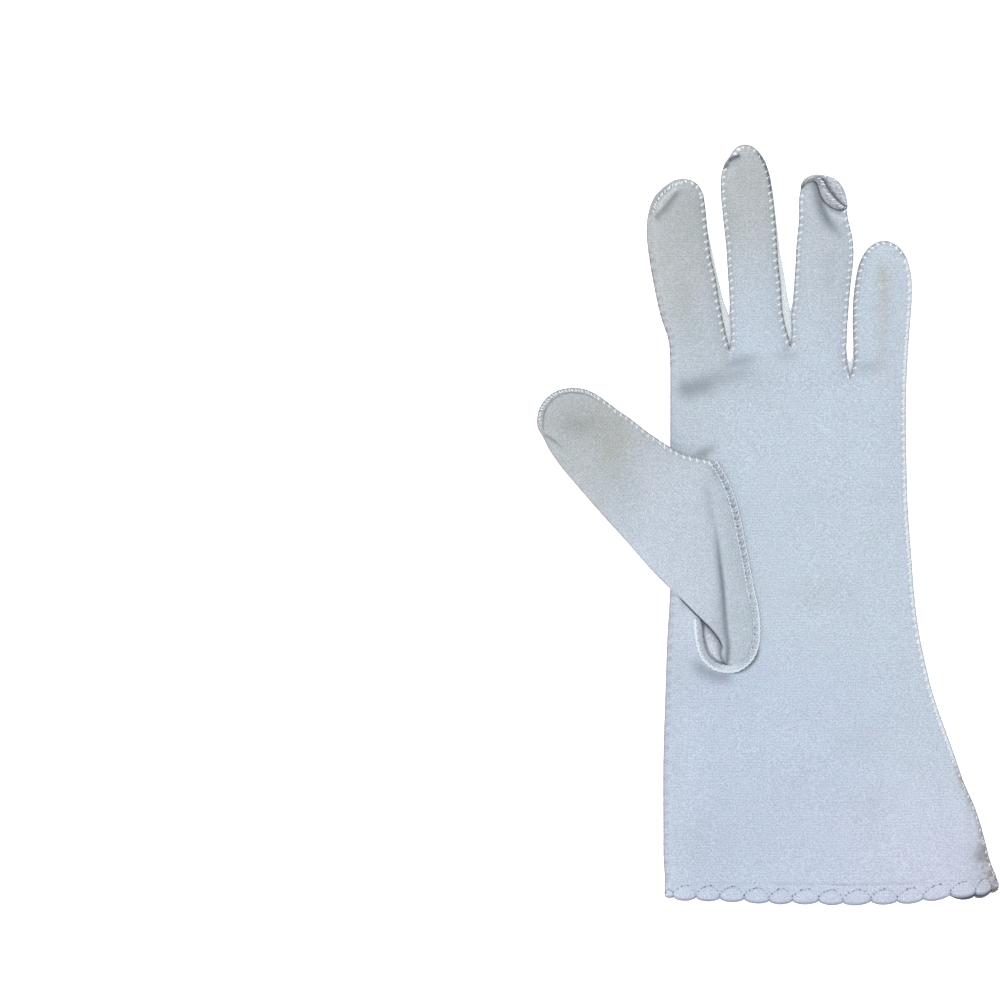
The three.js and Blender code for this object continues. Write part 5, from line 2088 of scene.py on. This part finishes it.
@dataclass(frozen=True)
class Studio:
    """The floor, the light and the camera."""

    centre: Point = (-89.5, 8.35)
    wide: float = 334.0
    height: float = 3000.0
    sky: float = 0.8
    sun: float = 1.3
    sun_spread: float = 28.0
    floor_reach: float = 1.6
    floor_glow: float = 0.85
    sensor: float = 36.0

    def build(self) -> None:
        """Makes the studio."""
        scene = bpy.context.scene
        scene.view_settings.view_transform = "Standard"
        mesh = bpy.data.meshes.new("floor")
        reach = self.floor_reach
        corners = [(-reach, -reach, 0), (reach, -reach, 0), (reach, reach, 0), (-reach, reach, 0)]
        mesh.from_pydata(corners, [], [(0, 1, 2, 3)])
        p = Palette("floor_paper")
        speck = p.noise(p.place(), 40.0, 2.0)
        white = p.blend(speck, tone(250, 250, 250), tone(254, 254, 254))
        mesh.materials.append(p.surface({
            "Base Color": white, "Roughness": 0.9, "Emission Color": (1, 1, 1, 1),
            "Emission Strength": self.floor_glow, "Specular IOR Level": 0.0,
        }))
        floor = bpy.data.objects.new("floor", mesh)
        scene.collection.objects.link(floor)
        world = bpy.data.worlds.new("soft_sky")
        world.use_nodes = True
        background = world.node_tree.nodes["Background"]
        background.inputs["Color"].default_value = (1, 1, 1, 1)
        background.inputs["Strength"].default_value = self.sky
        scene.world = world
        light = bpy.data.lights.new("window", "SUN")
        light.energy = self.sun
        light.angle = math.radians(self.sun_spread)
        lamp = bpy.data.objects.new("window", light)
        lamp.rotation_mode = "QUATERNION"
        lamp.rotation_quaternion = Vector((0.24, -0.22, -0.94)).to_track_quat("-Z", "Y")
        lamp.location = (-0.5, 0.5, 1.2)
        scene.collection.objects.link(lamp)
        lens = bpy.data.cameras.new("camera")
        lens.sensor_width = self.sensor
        lens.lens = self.sensor / 2 / (self.wide / 2 / self.height)
        lens.clip_start, lens.clip_end = 0.05, 20
        camera = bpy.data.objects.new("camera", lens)
        camera.location = ((self.centre[0] + DATUM_X) * MM, self.centre[1] * MM, self.height * MM)
        scene.collection.objects.link(camera)
        scene.camera = camera


def main() -> None:
    """Builds the glove and its studio."""
    logging.basicConfig(level=logging.INFO, format="%(message)s")
    Studio().build()
    palm_cloth = KnitCloth("palm_cloth").material()
    thumb_cloth = KnitCloth("thumb_cloth", grain_turn=math.radians(50)).material()
    # The strips' cloth is painted lighter than the palm's, as light against the shade they lie in
    strip_cloth = KnitCloth("strip_cloth", palm=(232, 242, 248), fingers=(224, 232, 236)).material()
    hem_cloth = KnitCloth("hem_cloth", rim=(132, 138, 158)).material()
    thread = Thread().material()
    hole = NeedleHoleShadow().material()
    hand = Hand(palm_cloth)
    trank = hand.build()
    for name, runs in (("fourchette_index_middle", (Run.INDEX_INNER, Run.MIDDLE_LEFT)),
                       ("fourchette_middle_ring", (Run.MIDDLE_RIGHT, Run.RING_LEFT)),
                       ("fourchette_ring_little", (Run.RING_RIGHT, Run.LITTLE_LEFT))):
        SideStrip(name, hand, runs).build(strip_cloth)
    thumb = Thumb(hand, thumb_cloth)
    thumb_piece = thumb.build()
    sewing = Stitching(thread)
    for row in HAND_ROWS:
        sewing.over_edge(hand.front, row)
    chain = curve_through(np.array(INDEX_CHAIN), 0.4)
    sewing.across(np.column_stack([chain, hand.front.at(chain) + 0.2]), 1.1, 0.5, 0.9, 0.21)
    tip = RingTip()
    sewing.across(tip.seam(2)[14:], 1.5, 0.55, 0.9, 0.17)
    sewing.across(tip.seam(5)[18:], 1.6, 0.45, 0.7, 0.15)
    sewing.build("hand_stitches")
    back_sewing = Stitching(thread)
    for row in BACK_ROWS:
        back_sewing.over_edge(hand.back, row)
    back_sewing.build("back_stitches")
    thumb_sewing = Stitching(thread)
    for row in THUMB_ROWS:
        thumb_sewing.over_edge(thumb.upper, row)
    thumb_sewing.build("thumb_stitches")
    Welt(hand, palm_cloth, Thread("welt_thread", (228, 238, 245)).material(), hole).build()
    ShellEdge(hand, hem_cloth, hole).build()
    area = hand.front.flat_area() + hand.back.flat_area()
    area = thumb.upper.flat_area() + thumb.lower.flat_area()


if __name__ == "__main__":
    main()
